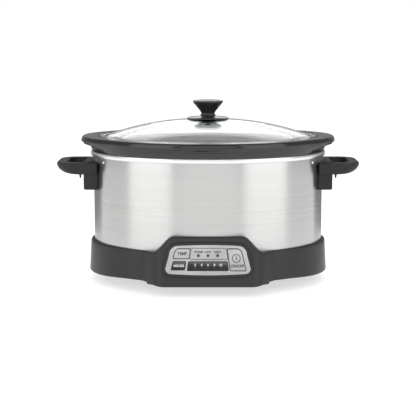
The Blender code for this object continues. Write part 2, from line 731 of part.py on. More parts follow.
def make_panel(plastic, silver, dark, board, lamp, window):
    make_bezel(plastic)
    make_plate(silver)
    panel_prism("hours_window", rounded_rectangle(WINDOW_BOX, 1.2 * MM), -1.4 * MM, 0.45 * MM, window)
    make_button("temp", TEMP_BOX, silver, dark, dark)
    make_button("hours", HOURS_BOX, window, dark, dark)
    make_button("power", POWER_BOX, silver, dark, dark)
    sheet = (-44 * MM, 44 * MM, -14.6 * MM, 14.6 * MM)
    panel_prism("panel_board", rounded_rectangle(sheet, 1.0 * MM), BOARD_N - 1.6 * MM, BOARD_N, board)
    dome = [(LAMP_RADIUS, BOARD_N + GAP), (LAMP_RADIUS, 0), (1.2 * MM, 0.5 * MM), (0.4 * MM, 0.7 * MM)]
    for name, place in (("led_warm", -1), ("led_low", 0), ("led_high", 1)):
        led = turned(name, dome, lamp, 14)
        led.matrix_world = panel_matrix() @ Matrix.Translation((place * LAMP_SPACING, LAMP_T, 0))
    for i, hour in enumerate((2, 4, 6, 8, 10)):
        chip_low = (-1.2 * MM, -0.7 * MM, BOARD_N + GAP)
        chip = box(f"hour_led_{hour}", chip_low, (1.2 * MM, 0.7 * MM, -2 * MM), lamp)
        shift = Matrix.Translation(((i - 2) * HOUR_SPACING, HOUR_T, 0))
        chip.matrix_world = panel_matrix() @ shift @ Matrix.Translation(chip.location)


# ---------------------------------------------------------------- electrics in the base

def gland_matrix():
    return facing((0, BASE_Y_LOW - 4 * MM, 34 * MM), (0, 1, 0))


def make_electrics(board, dark, steel, ceramic, rubber):
    box("power_board", (22 * MM, -62 * MM, 24 * MM), (98 * MM, -18 * MM, 25.6 * MM), board)
    box("relay", (74 * MM, -50 * MM, 25.9 * MM), (93 * MM, -34 * MM, 41 * MM), dark, 0.6 * MM)
    box("transformer", (32 * MM, -54 * MM, 25.9 * MM), (62 * MM, -28 * MM, 45 * MM), dark, 1.0 * MM)
    box("terminal_block", (-34 * MM, 76 * MM, 18.2 * MM), (-4 * MM, 90 * MM, 31 * MM), ceramic, 0.8 * MM)
    barrel = [(1.4 * MM, -9 * MM), (2.4 * MM, -7 * MM), (2.4 * MM, 7 * MM), (1.4 * MM, 9 * MM)]
    fuse_body = turned("thermal_fuse", barrel, steel, 14)
    fuse_body.matrix_world = facing((45 * MM, 30 * MM, 52.6 * MM), (1, 0, 0))
    bore = 4 * MM
    gland = [
        (bore, -8 * MM), (6.2 * MM, -8 * MM), (6.2 * MM, 3.2 * MM), (8.4 * MM, 3.2 * MM), (8 * MM, 5.6 * MM),
        (bore, 6.2 * MM),
    ]
    part = turned("cord_gland", gland, rubber, 24, True)
    part.matrix_world = gland_matrix()


def main():
    clear_scene()
    black = material("black_plastic", (0.045, 0.043, 0.043), 0.42)
    knob_black = material("knob_plastic", (0.018, 0.017, 0.018), 0.28)
    brushed = material("brushed_steel", (0.62, 0.62, 0.62), 0.3, 1.0)
    chrome = material("chrome", (0.75, 0.75, 0.75), 0.12, 1.0)
    aluminium = material("aluminium", (0.7, 0.7, 0.7), 0.25, 1.0)
    stoneware = material("black_glaze", (0.03, 0.028, 0.03), 0.15)
    glass = material("clear_glass", (0.7, 0.74, 0.74), 0.05)
    rubber = material("rubber", (0.02, 0.02, 0.02), 0.8)
    silver = material("silver_plastic", (0.5, 0.5, 0.51), 0.35)
    window = material("dark_window", (0.02, 0.02, 0.022), 0.15)
    board = material("circuit_board", (0.02, 0.16, 0.06), 0.5)
    lamp = material("lamp", (0.25, 0.02, 0.02), 0.2)
    steel = material("zinc_steel", (0.55, 0.55, 0.54), 0.35, 1.0)
    wool = material("mineral_wool", (0.6, 0.56, 0.42), 0.95)
    mica = material("heater_foil", (0.5, 0.45, 0.36), 0.4, 0.6)
    ceramic = material("ceramic", (0.75, 0.73, 0.68), 0.5)

    make_base_tray(black)
    make_base_cover(black)
    make_feet(rubber)
    make_cover_screws(steel)
    make_outer_shell(brushed)
    make_rivets(chrome)
    make_heating_liner(aluminium)
    make_oval_band("heater_band", 0.9 * MM, 2.1 * MM, 70 * MM, 112 * MM, mica)
    make_oval_band("insulation_blanket", 2.6 * MM, 6.0 * MM, 66 * MM, 120 * MM, wool)
    make_heat_shield(steel)
    make_sensor(aluminium, steel)
    make_stud_and_nut(steel)
    make_crock(stoneware)
    make_lid_glass(glass)
    make_knob(knob_black, rubber, steel)
    make_handle("handle_left", -1, black)
    make_handle("handle_right", 1, black)
    make_handle_screws(steel)
    make_panel(black, silver, knob_black, board, lamp, window)
    make_electrics(board, knob_black, steel, ceramic, rubber)


main()
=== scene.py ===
"""Looks of an oval slow cooker, built round its frame: shell, liner, base, crock, lid, handles and panel.

Units are metres, +Z is up and the control panel faces -Y. Sizes come from the frame's own boxes.
"""

import json
import math

import bmesh
import bpy
from bpy.props import FloatProperty, FloatVectorProperty, IntProperty, PointerProperty
from mathutils import Matrix, Vector


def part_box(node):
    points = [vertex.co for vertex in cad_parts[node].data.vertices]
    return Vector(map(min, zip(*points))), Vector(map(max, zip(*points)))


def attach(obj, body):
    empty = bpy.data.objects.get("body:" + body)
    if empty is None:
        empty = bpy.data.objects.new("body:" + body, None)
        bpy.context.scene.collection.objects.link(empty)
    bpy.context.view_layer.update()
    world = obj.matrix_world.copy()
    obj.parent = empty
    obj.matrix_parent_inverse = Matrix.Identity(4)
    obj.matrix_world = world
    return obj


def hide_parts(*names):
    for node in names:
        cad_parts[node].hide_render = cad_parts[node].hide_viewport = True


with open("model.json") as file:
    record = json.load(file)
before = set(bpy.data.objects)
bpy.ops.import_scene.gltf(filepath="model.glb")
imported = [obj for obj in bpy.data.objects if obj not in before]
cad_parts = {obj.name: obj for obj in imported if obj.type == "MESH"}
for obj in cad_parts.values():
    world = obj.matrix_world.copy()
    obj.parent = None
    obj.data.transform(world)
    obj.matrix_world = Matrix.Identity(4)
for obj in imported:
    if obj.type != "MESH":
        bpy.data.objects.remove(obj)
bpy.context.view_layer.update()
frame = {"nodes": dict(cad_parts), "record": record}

bl_info = {
    "name": "Slow Cooker Maker",
    "version": (1, 0, 0),
    "blender": (4, 5, 0),
    "location": "3D View > Sidebar > Cooker",
    "description": "Builds an oval slow cooker with a lift-out crock, a glass lid and a timer panel",
    "category": "Add Mesh",
}

MM = 0.001
SHARP_ANGLE = math.radians(35)


def high_corner(node):
    return Vector(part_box(node)[1])


def low_corner(node):
    return Vector(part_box(node)[0])


def middle_of(node):
    return (low_corner(node) + high_corner(node)) / 2


# Places read from the frame
SHELL_TOP = high_corner("outer_shell")
LINER_TOP = high_corner("heating_liner")
LINER_LOW = low_corner("heating_liner")
BASE_TOP = high_corner("base_tray")
BASE_LOW = low_corner("base_tray")
CROCK_TOP = high_corner("crock")
CROCK_LOW = low_corner("crock")
LID_TOP = high_corner("lid_glass")
LID_LOW = low_corner("lid_glass")
KNOB_TOP = high_corner("lid_knob")
KNOB_LOW = low_corner("lid_knob")
SKIRT_TOP = high_corner("knob_skirt")
SKIRT_LOW = low_corner("knob_skirt")
GRIP_TOP = high_corner("handle_right")
GRIP_LOW = low_corner("handle_right")

# Proportions that belong to the design
SHELL_OFFSET = 7.5 * MM
SHELL_SKIN = 0.9 * MM
NOTCH_HALF = 48.5 * MM
NOTCH_LOW_Z = 30 * MM
NOTCH_TOP_Z = 67.5 * MM
CORE_X = SHELL_TOP.x - SHELL_OFFSET
CORE_Y = SHELL_TOP.y - SHELL_OFFSET
BASE_EDGE_Z = BASE_LOW.z
BASE_ARCH = 3 * MM
SEAM_Z = 52.5 * MM
BASE_WALL = 2.6 * MM
FLANGE_Z = 18.1 * MM
NOSE_TILT = math.radians(10)
NOSE_FLAT_HALF = 54 * MM
NOSE_BLEND_HALF = 84 * MM
NOSE_TOP_HALF = 42 * MM
NOSE_SHOULDER_HALF = 68 * MM
RIM_X = 151 * MM
LID_SEAT_Z = LID_LOW.z - 0.3 * MM
PAD_FACE_X = 158 * MM
PAD_HALF_Y = 36 * MM
GRIP_LOW_Z = 139 * MM
PLATE_HALF_TOP = 44.5 * MM
PLATE_HALF_BOTTOM = 53.3 * MM
PLATE_HALF_HEIGHT = 16.2 * MM
PLATE_CORNER_TOP = 10 * MM
PLATE_CORNER_BOTTOM = 6 * MM
PLATE_BOW = 2.2 * MM
BEZEL_WIDTH = 3.4 * MM
KEY_CORNER = 1.2 * MM
SOFT_CORNER = 4.5 * MM
NUMBER_T = -5.7 * MM
TEMP_BOX = (-42.2 * MM, -23.4 * MM, 2.4 * MM, 13.4 * MM)
LAMP_BOX = (-21.6 * MM, 23.2 * MM, 1.8 * MM, 13.6 * MM)
HOURS_BOX = (-42.0 * MM, -26.4 * MM, -12.0 * MM, -1.4 * MM)
WINDOW_BOX = (-23.6 * MM, 23.2 * MM, -12.8 * MM, -1.6 * MM)
POWER_BOX = (25.6 * MM, 42.6 * MM, -12.2 * MM, 13.2 * MM)
LAMP_SPACING = 11.6 * MM
LAMP_T = 5.5 * MM
HOUR_SPACING = 7.8 * MM


# ---------------------------------------------------------------- settings a user would change

class CookerSizes(bpy.types.PropertyGroup):
    segments: IntProperty(name="Segments", description="Faces round each oval piece", default=216, min=48)
    corner_steps: IntProperty(name="Corner steps", description="Faces across each rounded edge",
        default=5, min=1)
    lug_reach: FloatProperty(
        name="Lug reach", description="How far the crock's end lugs stand out", default=CROCK_TOP.x - RIM_X,
        unit="LENGTH")
    bead_reach: FloatProperty(
        name="Bead reach", description="How far the rolled lip stands out from the oval core",
        default=LINER_TOP.x - CORE_X, unit="LENGTH")
    glass: FloatProperty(name="Glass", description="Thickness of the lid", default=4 * MM, unit="LENGTH")
    grip_corner: FloatProperty(
        name="Grip corner", description="Radius of a handle's outer corners in plan", default=20 * MM,
        unit="LENGTH")
    line_width: FloatProperty(
        name="Line width", description="Width of the printed lines on the panel", default=0.75 * MM,
        unit="LENGTH")
    mark_height: FloatProperty(
        name="Mark height", description="How far printed marks stand off the panel", default=0.05 * MM,
        unit="LENGTH")


def colour_setting(label, text, default):
    return FloatVectorProperty(name=label, description=text, subtype="COLOR", size=3, min=0, max=1,
        default=default)


class CookerColours(bpy.types.PropertyGroup):
    steel: colour_setting("Steel", "Brushed shell", (0.57, 0.565, 0.56))
    polish: colour_setting("Polished lip", "Rolled lip and inside of the liner", (0.80, 0.80, 0.80))
    base: colour_setting("Base plastic", "Base, nose and bezel", (0.017, 0.0148, 0.0151))
    handle: colour_setting("Handle plastic", "Loop handles", (0.013, 0.0122, 0.012))
    knob: colour_setting("Knob plastic", "Lid knob", (0.018, 0.017, 0.0174))
    glaze: colour_setting("Glaze", "Crock", (0.014, 0.0118, 0.0124))
    glass: colour_setting("Glass", "Lid", (0.95, 0.97, 0.97))
    silver: colour_setting("Silver", "Panel plate and buttons", (0.36, 0.355, 0.362))
    ink: colour_setting("Ink", "Printed lines and words on silver", (0.035, 0.033, 0.035))
    pale_ink: colour_setting("Pale ink", "Numbers and words on dark", (0.50, 0.53, 0.56))
    window: colour_setting("Window", "Smoked hours window", (0.012, 0.0118, 0.013))
    floor: colour_setting("Floor", "The surface that the cooker stands on", (0.42, 0.42, 0.42))


class StudioSettings(bpy.types.PropertyGroup):
    distance: FloatProperty(name="Distance", description="Camera to object", default=1.5, unit="LENGTH")
    height: FloatProperty(name="Height", description="Camera above the floor", default=0.3227,
        unit="LENGTH")
    pitch: FloatProperty(
        name="Pitch", description="Downward tilt of the camera", default=math.radians(8.8), subtype="ANGLE")
    lens: FloatProperty(name="Lens", description="Focal length", default=100.8, unit="CAMERA")
    side_power: FloatProperty(name="Side lights", description="Power of each side panel", default=7.0,
        unit="POWER")
    front_power: FloatProperty(
        name="Front light", description="Power of the panel over the camera", default=9.0, unit="POWER")
    back_power: FloatProperty(
        name="Back light", description="Power of the panel behind the lid", default=14.0, unit="POWER")
    flag_shade: FloatProperty(
        name="Flag shade", description="How pale the flags are that the ends of the shell reflect",
        default=0.22)
    top_power: FloatProperty(name="Top light", description="Power of the overhead panel", default=5.0,
        unit="POWER")
    world: FloatProperty(name="Surroundings", description="Brightness that the surroundings give off",
        default=1.12)
    reflected: FloatProperty(
        name="Reflected surroundings", description="Brightness that reflections see around the object",
        default=0.32)


def sizes():
    return bpy.context.scene.cooker_sizes


def colours():
    return bpy.context.scene.cooker_colours


# ---------------------------------------------------------------- outlines and meshes

def smoothstep(low, high, value):
    t = min(1.0, max(0.0, (value - low) / (high - low)))
    return t * t * (3.0 - 2.0 * t)


def round_corners(points, closed=True):
    """Turn a coarse profile into a smooth one. The last number of each point is its corner radius."""
    steps = sizes().corner_steps
    count = len(points)
    smooth = []
    for i, point in enumerate(points):
        here = Vector(point[:-1])
        radius = point[-1]
        if radius <= 0 or (not closed and i in (0, count - 1)):
            smooth.append(here)
            continue
        before = Vector(points[i - 1][:-1]) - here
        after = Vector(points[(i + 1) % count][:-1]) - here
        start = here + before.normalized() * min(radius, before.length * 0.48)
        end = here + after.normalized() * min(radius, after.length * 0.48)
        for k in range(steps + 1):
            t = k / steps
            smooth.append(start * (1 - t) ** 2 + here * 2 * t * (1 - t) + end * t ** 2)
    return smooth


def turn_angles(count=None):
    count = count or sizes().segments
    return [math.tau * i / count for i in range(count)]


def oval(half_x, half_y, z, count=None):
    return [(half_x * math.cos(a), half_y * math.sin(a), z) for a in turn_angles(count)]


def quarter_arc(x, y, radius, start, count):
    """Points on a quarter circle that starts at an angle in degrees."""
    turns = [math.radians(start + 90 * i / count) for i in range(count + 1)]
    return [(x + radius * math.cos(a), y + radius * math.sin(a)) for a in turns]


def core_oval(offset, z):
    return oval(CORE_X + offset, CORE_Y + offset, z)


def mesh_object(name, bm, mat):
    bmesh.ops.recalc_face_normals(bm, faces=bm.faces)
    mesh = bpy.data.meshes.new(name)
    bm.to_mesh(mesh)
    bm.free()
    mesh.shade_smooth()
    mesh.set_sharp_from_angle(angle=SHARP_ANGLE)
    obj = bpy.data.objects.new(name, mesh)
    bpy.context.scene.collection.objects.link(obj)
    if mat:
        mesh.materials.append(mat)
    return obj


def skin(name, rings, mat, ring_shaped=True, place=None):
    """Skin a row of point rings. A ring-shaped body closes on itself, any other is capped at both ends."""
    bm = bmesh.new()
    move = place or Matrix.Identity(4)
    rows = [[bm.verts.new(move @ Vector(point)) for point in ring] for ring in rings]
    pairs = list(zip(rows, rows[1:]))
    if ring_shaped:
        pairs.append((rows[-1], rows[0]))
    else:
        bm.faces.new(rows[0])
        bm.faces.new(rows[-1])
    for lower, upper in pairs:
        for i in range(len(lower)):
            j = (i + 1) % len(lower)
            bm.faces.new((lower[i], lower[j], upper[j], upper[i]))
    return mesh_object(name, bm, mat)


def turned(name, profile, mat, count=64, ring_shaped=True, place=None):
    rings = [oval(radius, radius, z, count) for radius, z in round_corners(profile, ring_shaped)]
    return skin(name, rings, mat, ring_shaped, place)


def bake_modifiers(obj):
    """Replace an object's mesh with what its modifiers make of it."""
    graph = bpy.context.evaluated_depsgraph_get()
    mesh = bpy.data.meshes.new_from_object(obj.evaluated_get(graph))
    obj.modifiers.clear()
    old = obj.data
    obj.data = mesh
    mesh.name = old.name
    mesh.shade_smooth()
    mesh.set_sharp_from_angle(angle=SHARP_ANGLE)


def combine(obj, tools):
    """Apply Boolean steps: tools is a list of (operation, tool object)."""
    for operation, tool in tools:
        step = obj.modifiers.new("Shape", "BOOLEAN")
        step.operation = operation
        step.object = tool
        step.solver = "EXACT"
    bake_modifiers(obj)
    for _, tool in tools:
        bpy.data.objects.remove(tool, do_unlink=True)


def round_tool(radius, low, high, place, count=48):
    return skin("hole_tool", [oval(radius, radius, low, count), oval(radius, radius, high, count)], None,
        False, place)


def facing(place, direction):
    turn = Vector(direction).to_track_quat("Z", "Y")
    return Matrix.Translation(Vector(place)) @ turn.to_matrix().to_4x4()


def settle(obj, body, slot, *replaced):
    """Put a finished piece on its body, and hide the frame nodes that it stands for."""
    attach(obj, body)
    if replaced:
        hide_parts(*replaced)
    return obj


# ---------------------------------------------------------------- shader groups and materials

def shader_group(name, inputs, outputs):
    group = bpy.data.node_groups.new(name, "ShaderNodeTree")
    for label, kind, default in inputs:
        socket = group.interface.new_socket(label, in_out="INPUT", socket_type=kind)
        if default is not None:
            socket.default_value = default
    for label, kind in outputs:
        group.interface.new_socket(label, in_out="OUTPUT", socket_type=kind)
    return group, group.nodes.new("NodeGroupInput"), group.nodes.new("NodeGroupOutput")


def noise(tree, vector, scale, detail=2.0, roughness=0.5):
    node = tree.nodes.new("ShaderNodeTexNoise")
    node.inputs["Detail"].default_value = detail
    node.inputs["Roughness"].default_value = roughness
    tree.links.new(vector, node.inputs["Vector"])
    if isinstance(scale, (int, float)):
        node.inputs["Scale"].default_value = scale
    else:
        tree.links.new(scale, node.inputs["Scale"])
    return node.outputs["Fac"]


def calc(tree, operation, a, b):
    node = tree.nodes.new("ShaderNodeMath")
    node.operation = operation
    for socket, value in zip(node.inputs, (a, b)):
        if isinstance(value, (int, float)):
            socket.default_value = value
        else:
            tree.links.new(value, socket)
    return node.outputs[0]


def spread(tree, value, low, high):
    """Map a value from about 0.3..0.7, where noise lies, to a wanted range."""
    node = tree.nodes.new("ShaderNodeMapRange")
    tree.links.new(value, node.inputs["Value"])
    node.inputs["From Min"].default_value = 0.3
    node.inputs["From Max"].default_value = 0.7
    node.inputs["To Min"].default_value = low
    node.inputs["To Max"].default_value = high
    return node.outputs["Result"]


def brushing_group():
    """Hairlines that run round the object: fine across their length, long along it."""
    along = 7.0
    group, entry, leave = shader_group(
        "Hairline Brushing", [("Vector", "NodeSocketVector", None), ("Pitch", "NodeSocketFloat", 2600.0)],
        [("Hairlines", "NodeSocketFloat"), ("Bands", "NodeSocketFloat")])
    parts = group.nodes.new("ShaderNodeSeparateXYZ")
    group.links.new(entry.outputs["Vector"], parts.inputs["Vector"])
    joined = group.nodes.new("ShaderNodeCombineXYZ")
    for axis in ("X", "Y"):
        group.links.new(calc(group, "MULTIPLY", parts.outputs[axis], along), joined.inputs[axis])
    group.links.new(calc(group, "MULTIPLY", parts.outputs["Z"], entry.outputs["Pitch"]), joined.inputs["Z"])
    fine = noise(group, joined.outputs["Vector"], 1.0, 3.0, 0.65)
    broad = noise(group, joined.outputs["Vector"], 0.12, 2.0, 0.5)
    group.links.new(fine, leave.inputs["Hairlines"])
    group.links.new(broad, leave.inputs["Bands"])
    return group


def grain_group():
    """Fine spark-eroded grain of a moulded plastic, with a broad uneven sheen."""
    group, entry, leave = shader_group(
        "Moulded Grain", [("Vector", "NodeSocketVector", None), ("Scale", "NodeSocketFloat", 2200.0)],
        [("Grain", "NodeSocketFloat"), ("Sheen", "NodeSocketFloat")])
    fine = noise(group, entry.outputs["Vector"], entry.outputs["Scale"], 2.0, 0.6)
    coarse = noise(group, entry.outputs["Vector"], calc(group, "MULTIPLY", entry.outputs["Scale"], 0.011),
        2.0)
    group.links.new(fine, leave.inputs["Grain"])
    group.links.new(coarse, leave.inputs["Sheen"])
    return group


def handling_group():
    """Faint smudges and dust left by use."""
    group, entry, leave = shader_group(
        "Handling Marks", [("Vector", "NodeSocketVector", None), ("Amount", "NodeSocketFloat", 0.5)],
        [("Marks", "NodeSocketFloat")])
    cloud = noise(group, entry.outputs["Vector"], 38.0, 4.0, 0.6)
    lifted = spread(group, cloud, 0.0, 1.0)
    group.links.new(calc(group, "MULTIPLY", lifted, entry.outputs["Amount"]), leave.inputs["Marks"])
    return group


def place_group(mat, group, **values):
    node = mat.node_tree.nodes.new("ShaderNodeGroup")
    node.node_tree = group
    for label, value in values.items():
        node.inputs[label].default_value = value
    mat.node_tree.links.new(object_place(mat), node.inputs["Vector"])
    return node


def object_place(mat):
    found = mat.node_tree.nodes.get("Object Place") or mat.node_tree.nodes.new("ShaderNodeTexCoord")
    found.name = "Object Place"
    return found.outputs["Object"]


def bare_material(name, colour, roughness, metallic=0.0, **constants):
    mat = bpy.data.materials.new(name)
    mat.use_nodes = True
    shader = mat.node_tree.nodes["Principled BSDF"]
    shader.inputs["Base Color"].default_value = (*colour, 1.0)
    shader.inputs["Roughness"].default_value = roughness
    shader.inputs["Metallic"].default_value = metallic
    for label, value in constants.items():
        shader.inputs[label.replace("_", " ")].default_value = value
    return mat, mat.node_tree, shader


def vary_colour(tree, shader, value, colour, low, high):
    """Base colour that lightens and darkens with a value."""
    mix = tree.nodes.new("ShaderNodeMix")
    mix.data_type = "RGBA"
    mix.inputs["A"].default_value = (*[c * low for c in colour], 1.0)
    mix.inputs["B"].default_value = (*[min(1.0, c * high) for c in colour], 1.0)
    tree.links.new(spread(tree, value, 0.0, 1.0), mix.inputs["Factor"])
    tree.links.new(mix.outputs["Result"], shader.inputs["Base Color"])


def add_bump(tree, shader, height, strength, distance):
    bump = tree.nodes.new("ShaderNodeBump")
    bump.inputs["Strength"].default_value = strength
    bump.inputs["Distance"].default_value = distance
    tree.links.new(height, bump.inputs["Height"])
    tree.links.new(bump.outputs["Normal"], shader.inputs["Normal"])


def brushed_metal(name, colour, roughness, pitch, strength, anisotropic):
    mat, tree, shader = bare_material(name, colour, roughness, 1.0)
    lines = place_group(mat, GROUPS["brushing"], Pitch=pitch)
    vary_colour(tree, shader, lines.outputs["Hairlines"], colour, 0.93, 1.06)
    tree.links.new(spread(tree, lines.outputs["Bands"], roughness * 0.88, roughness * 1.14),
        shader.inputs["Roughness"])
    add_bump(tree, shader, lines.outputs["Hairlines"], strength, 0.02 * MM)
    if anisotropic:
        shader.inputs["Anisotropic"].default_value = anisotropic
        shader.inputs["Anisotropic Rotation"].default_value = 0.25
        tangent = tree.nodes.new("ShaderNodeTangent")
        tangent.direction_type = "RADIAL"
        tangent.axis = "Z"
        tree.links.new(tangent.outputs["Tangent"], shader.inputs["Tangent"])
    return mat


def polished_metal(name, colour, roughness):
    mat, tree, shader = bare_material(name, colour, roughness, 1.0)
    marks = place_group(mat, GROUPS["handling"], Amount=1.0)
    tree.links.new(spread(tree, marks.outputs["Marks"], roughness * 0.96, roughness * 1.05),
        shader.inputs["Roughness"])
    lines = place_group(mat, GROUPS["brushing"], Pitch=1400.0)
    vary_colour(tree, shader, lines.outputs["Bands"], colour, 0.97, 1.02)
    return mat


def moulded_plastic(name, colour, roughness, grain, strength, **constants):
    mat, tree, shader = bare_material(name, colour, roughness, **constants)
    grains = place_group(mat, GROUPS["grain"], Scale=grain)
    vary_colour(tree, shader, grains.outputs["Sheen"], colour, 0.9, 1.12)
    tree.links.new(spread(tree, grains.outputs["Sheen"], roughness * 0.92, roughness * 1.1),
        shader.inputs["Roughness"])
    add_bump(tree, shader, grains.outputs["Grain"], strength, 0.03 * MM)
    return mat


def glazed_stoneware(name, colour):
    mat, tree, shader = bare_material(name, colour, 0.13, Coat_Weight=0.1, Coat_Roughness=0.05)
    grains = place_group(mat, GROUPS["grain"], Scale=240.0)
    vary_colour(tree, shader, grains.outputs["Grain"], colour, 0.88, 1.15)
    marks = place_group(mat, GROUPS["handling"], Amount=1.0)
    tree.links.new(spread(tree, marks.outputs["Marks"], 0.11, 0.17), shader.inputs["Roughness"])
    add_bump(tree, shader, grains.outputs["Sheen"], 0.25, 0.15 * MM)
    return mat


def clear_glass(name, colour):
    mat, tree, shader = bare_material(name, colour, 0.02, Transmission_Weight=1.0, IOR=1.5)
    marks = place_group(mat, GROUPS["handling"], Amount=1.0)
    tree.links.new(spread(tree, marks.outputs["Marks"], 0.01, 0.035), shader.inputs["Roughness"])
    return mat


def lamp_lens(name, colour):
    mat, tree, shader = bare_material(name, colour, 0.18, Coat_Weight=0.5)
    grains = place_group(mat, GROUPS["grain"], Scale=900.0)
    vary_colour(tree, shader, grains.outputs["Grain"], colour, 0.8, 1.3)
    return mat


def fibrous(name, colour, scale):
    mat, tree, shader = bare_material(name, colour, 0.95)
    grains = place_group(mat, GROUPS["grain"], Scale=scale)
    vary_colour(tree, shader, grains.outputs["Grain"], colour, 0.6, 1.3)
    add_bump(tree, shader, grains.outputs["Grain"], 0.8, 0.4 * MM)
    return mat


GROUPS = {}
MATS = {}


def make_materials():
    GROUPS["brushing"] = brushing_group()
    GROUPS["grain"] = grain_group()
    GROUPS["handling"] = handling_group()
    c = colours()
    MATS["brushed_steel"] = brushed_metal("Brushed shell", c.steel, 0.30, 2600.0, 0.07, 0.85)
    MATS["polished_aluminium"] = polished_metal("Polished lip", c.polish, 0.30)
    MATS["chrome"] = brushed_metal("Spun skirt", c.polish, 0.2, 3000.0, 0.15, 0.0)
    MATS["black_plastic"] = moulded_plastic(
        "Base plastic", c.base, 0.40, 2400.0, 0.35, Specular_IOR_Level=0.38)
    MATS["handle_plastic"] = moulded_plastic("Handle plastic", c.handle, 0.46, 1900.0, 0.5,
        Specular_IOR_Level=0.3)
    MATS["knob_plastic"] = moulded_plastic("Knob plastic", c.knob, 0.27, 2600.0, 0.12, Coat_Weight=0.3)
    MATS["black_glaze"] = glazed_stoneware("Dark glaze", c.glaze)
    MATS["clear_glass"] = clear_glass("Lid glass", c.glass)
    MATS["silver_plastic"] = moulded_plastic("Silver film", c.silver, 0.34, 3200.0, 0.12, Metallic=0.35)
    MATS["ink"] = moulded_plastic("Dark ink", c.ink, 0.5, 3000.0, 0.1)
    MATS["pale_ink"] = moulded_plastic("Pale ink", c.pale_ink, 0.5, 3000.0, 0.1)
    MATS["dark_window"] = moulded_plastic("Smoked window", c.window, 0.16, 2600.0, 0.05, Coat_Weight=0.5)
    MATS["lamp_red"] = lamp_lens("Lamp lens", (0.024, 0.011, 0.011))
    MATS["rubber"] = moulded_plastic("Rubber", (0.022, 0.022, 0.022), 0.75, 1500.0, 0.6)
    MATS["zinc_steel"] = polished_metal("Zinc plate", (0.55, 0.55, 0.53), 0.34)
    MATS["circuit_board"] = moulded_plastic("Solder mask", (0.02, 0.13, 0.05), 0.4, 900.0, 0.3)
    MATS["mineral_wool"] = fibrous("Mineral wool", (0.60, 0.56, 0.42), 700.0)
    MATS["heater_foil"] = polished_metal("Heater foil", (0.50, 0.46, 0.38), 0.35)
    MATS["ceramic_block"] = fibrous("Ceramic", (0.72, 0.70, 0.65), 1800.0)


def dress_frame_nodes():
    """Give every node that stays visible its procedural finish."""
    for part in frame["record"]["subparts"]:
        node = frame["nodes"][part["node"]]
        finish = MATS[part["material_slot"]]
        for slot in node.material_slots:
            slot.material = finish


# ---------------------------------------------------------------- geometry node trees

def node_tree(name, **inputs):
    """Start a tree that takes geometry, one number for each default given here, and a material."""
    tree = bpy.data.node_groups.new(name, "GeometryNodeTree")
    tree.is_modifier = True
    tree.interface.new_socket("Geometry", in_out="INPUT", socket_type="NodeSocketGeometry")
    for label, default in inputs.items():
        kind = "NodeSocketInt" if isinstance(default, int) else "NodeSocketFloat"
        socket = tree.interface.new_socket(label.replace("_", " "), in_out="INPUT", socket_type=kind)
        socket.default_value = default
    tree.interface.new_socket("Material", in_out="INPUT", socket_type="NodeSocketMaterial")
    tree.interface.new_socket("Geometry", in_out="OUTPUT", socket_type="NodeSocketGeometry")
    return tree, tree.nodes.new("NodeGroupInput").outputs, tree.nodes.new("NodeGroupOutput")


def add_node(tree, kind, links=None, **values):
    """Add a node. Values set sockets or properties, and links joins input names to output sockets."""
    node = tree.nodes.new(kind)
    for label, value in values.items():
        name = label.replace("_", " ")
        if name in node.inputs:
            node.inputs[name].default_value = value
        else:
            setattr(node, label, value)
    for name, socket in (links or {}).items():
        tree.links.new(socket, node.inputs[name])
    return node


def close_tree(tree, entry, leave, geometry):
    """Every tree ends in Realize Instances and Set Material."""
    real = add_node(tree, "GeometryNodeRealizeInstances", {"Geometry": geometry})
    shaded = add_node(tree, "GeometryNodeSetShadeSmooth", {"Geometry": real.outputs[0]}, Shade_Smooth=True)
    painted = add_node(
        tree, "GeometryNodeSetMaterial", {"Geometry": shaded.outputs[0], "Material": entry["Material"]})
    tree.links.new(painted.outputs[0], leave.inputs["Geometry"])


def run_tree(name, tree, points, normals, values):
    """Run a tree on a cloud of points and keep its result as a plain mesh object."""
    mesh = bpy.data.meshes.new(name)
    mesh.from_pydata([tuple(p) for p in points], [], [])
    if normals:
        facing_data = mesh.attributes.new("facing", "FLOAT_VECTOR", "POINT")
        for item, normal in zip(facing_data.data, normals):
            item.vector = normal
    obj = bpy.data.objects.new(name, mesh)
    bpy.context.scene.collection.objects.link(obj)
    modifier = obj.modifiers.new("Build", "NODES")
    modifier.node_group = tree
    sockets = {item.name: item.identifier for item in tree.interface.items_tree if item.in_out == "INPUT"}
    for label, value in values.items():
        modifier[sockets[label]] = value
    graph = bpy.context.evaluated_depsgraph_get()
    result = bpy.data.meshes.new_from_object(obj.evaluated_get(graph))
    obj.modifiers.remove(modifier)
    obj.data = result
    result.set_sharp_from_angle(angle=SHARP_ANGLE)
    return obj


def stand_pieces(name, tree, points, normals, body, finish, replaced, **values):
    """Grow a tree's pieces on points and settle them as one object on a body."""
    inputs = {label.replace("_", " "): value for label, value in values.items()}
    settle(run_tree(name, tree, points, normals, {**inputs, "Material": MATS[finish]}), body, finish,
        *replaced)


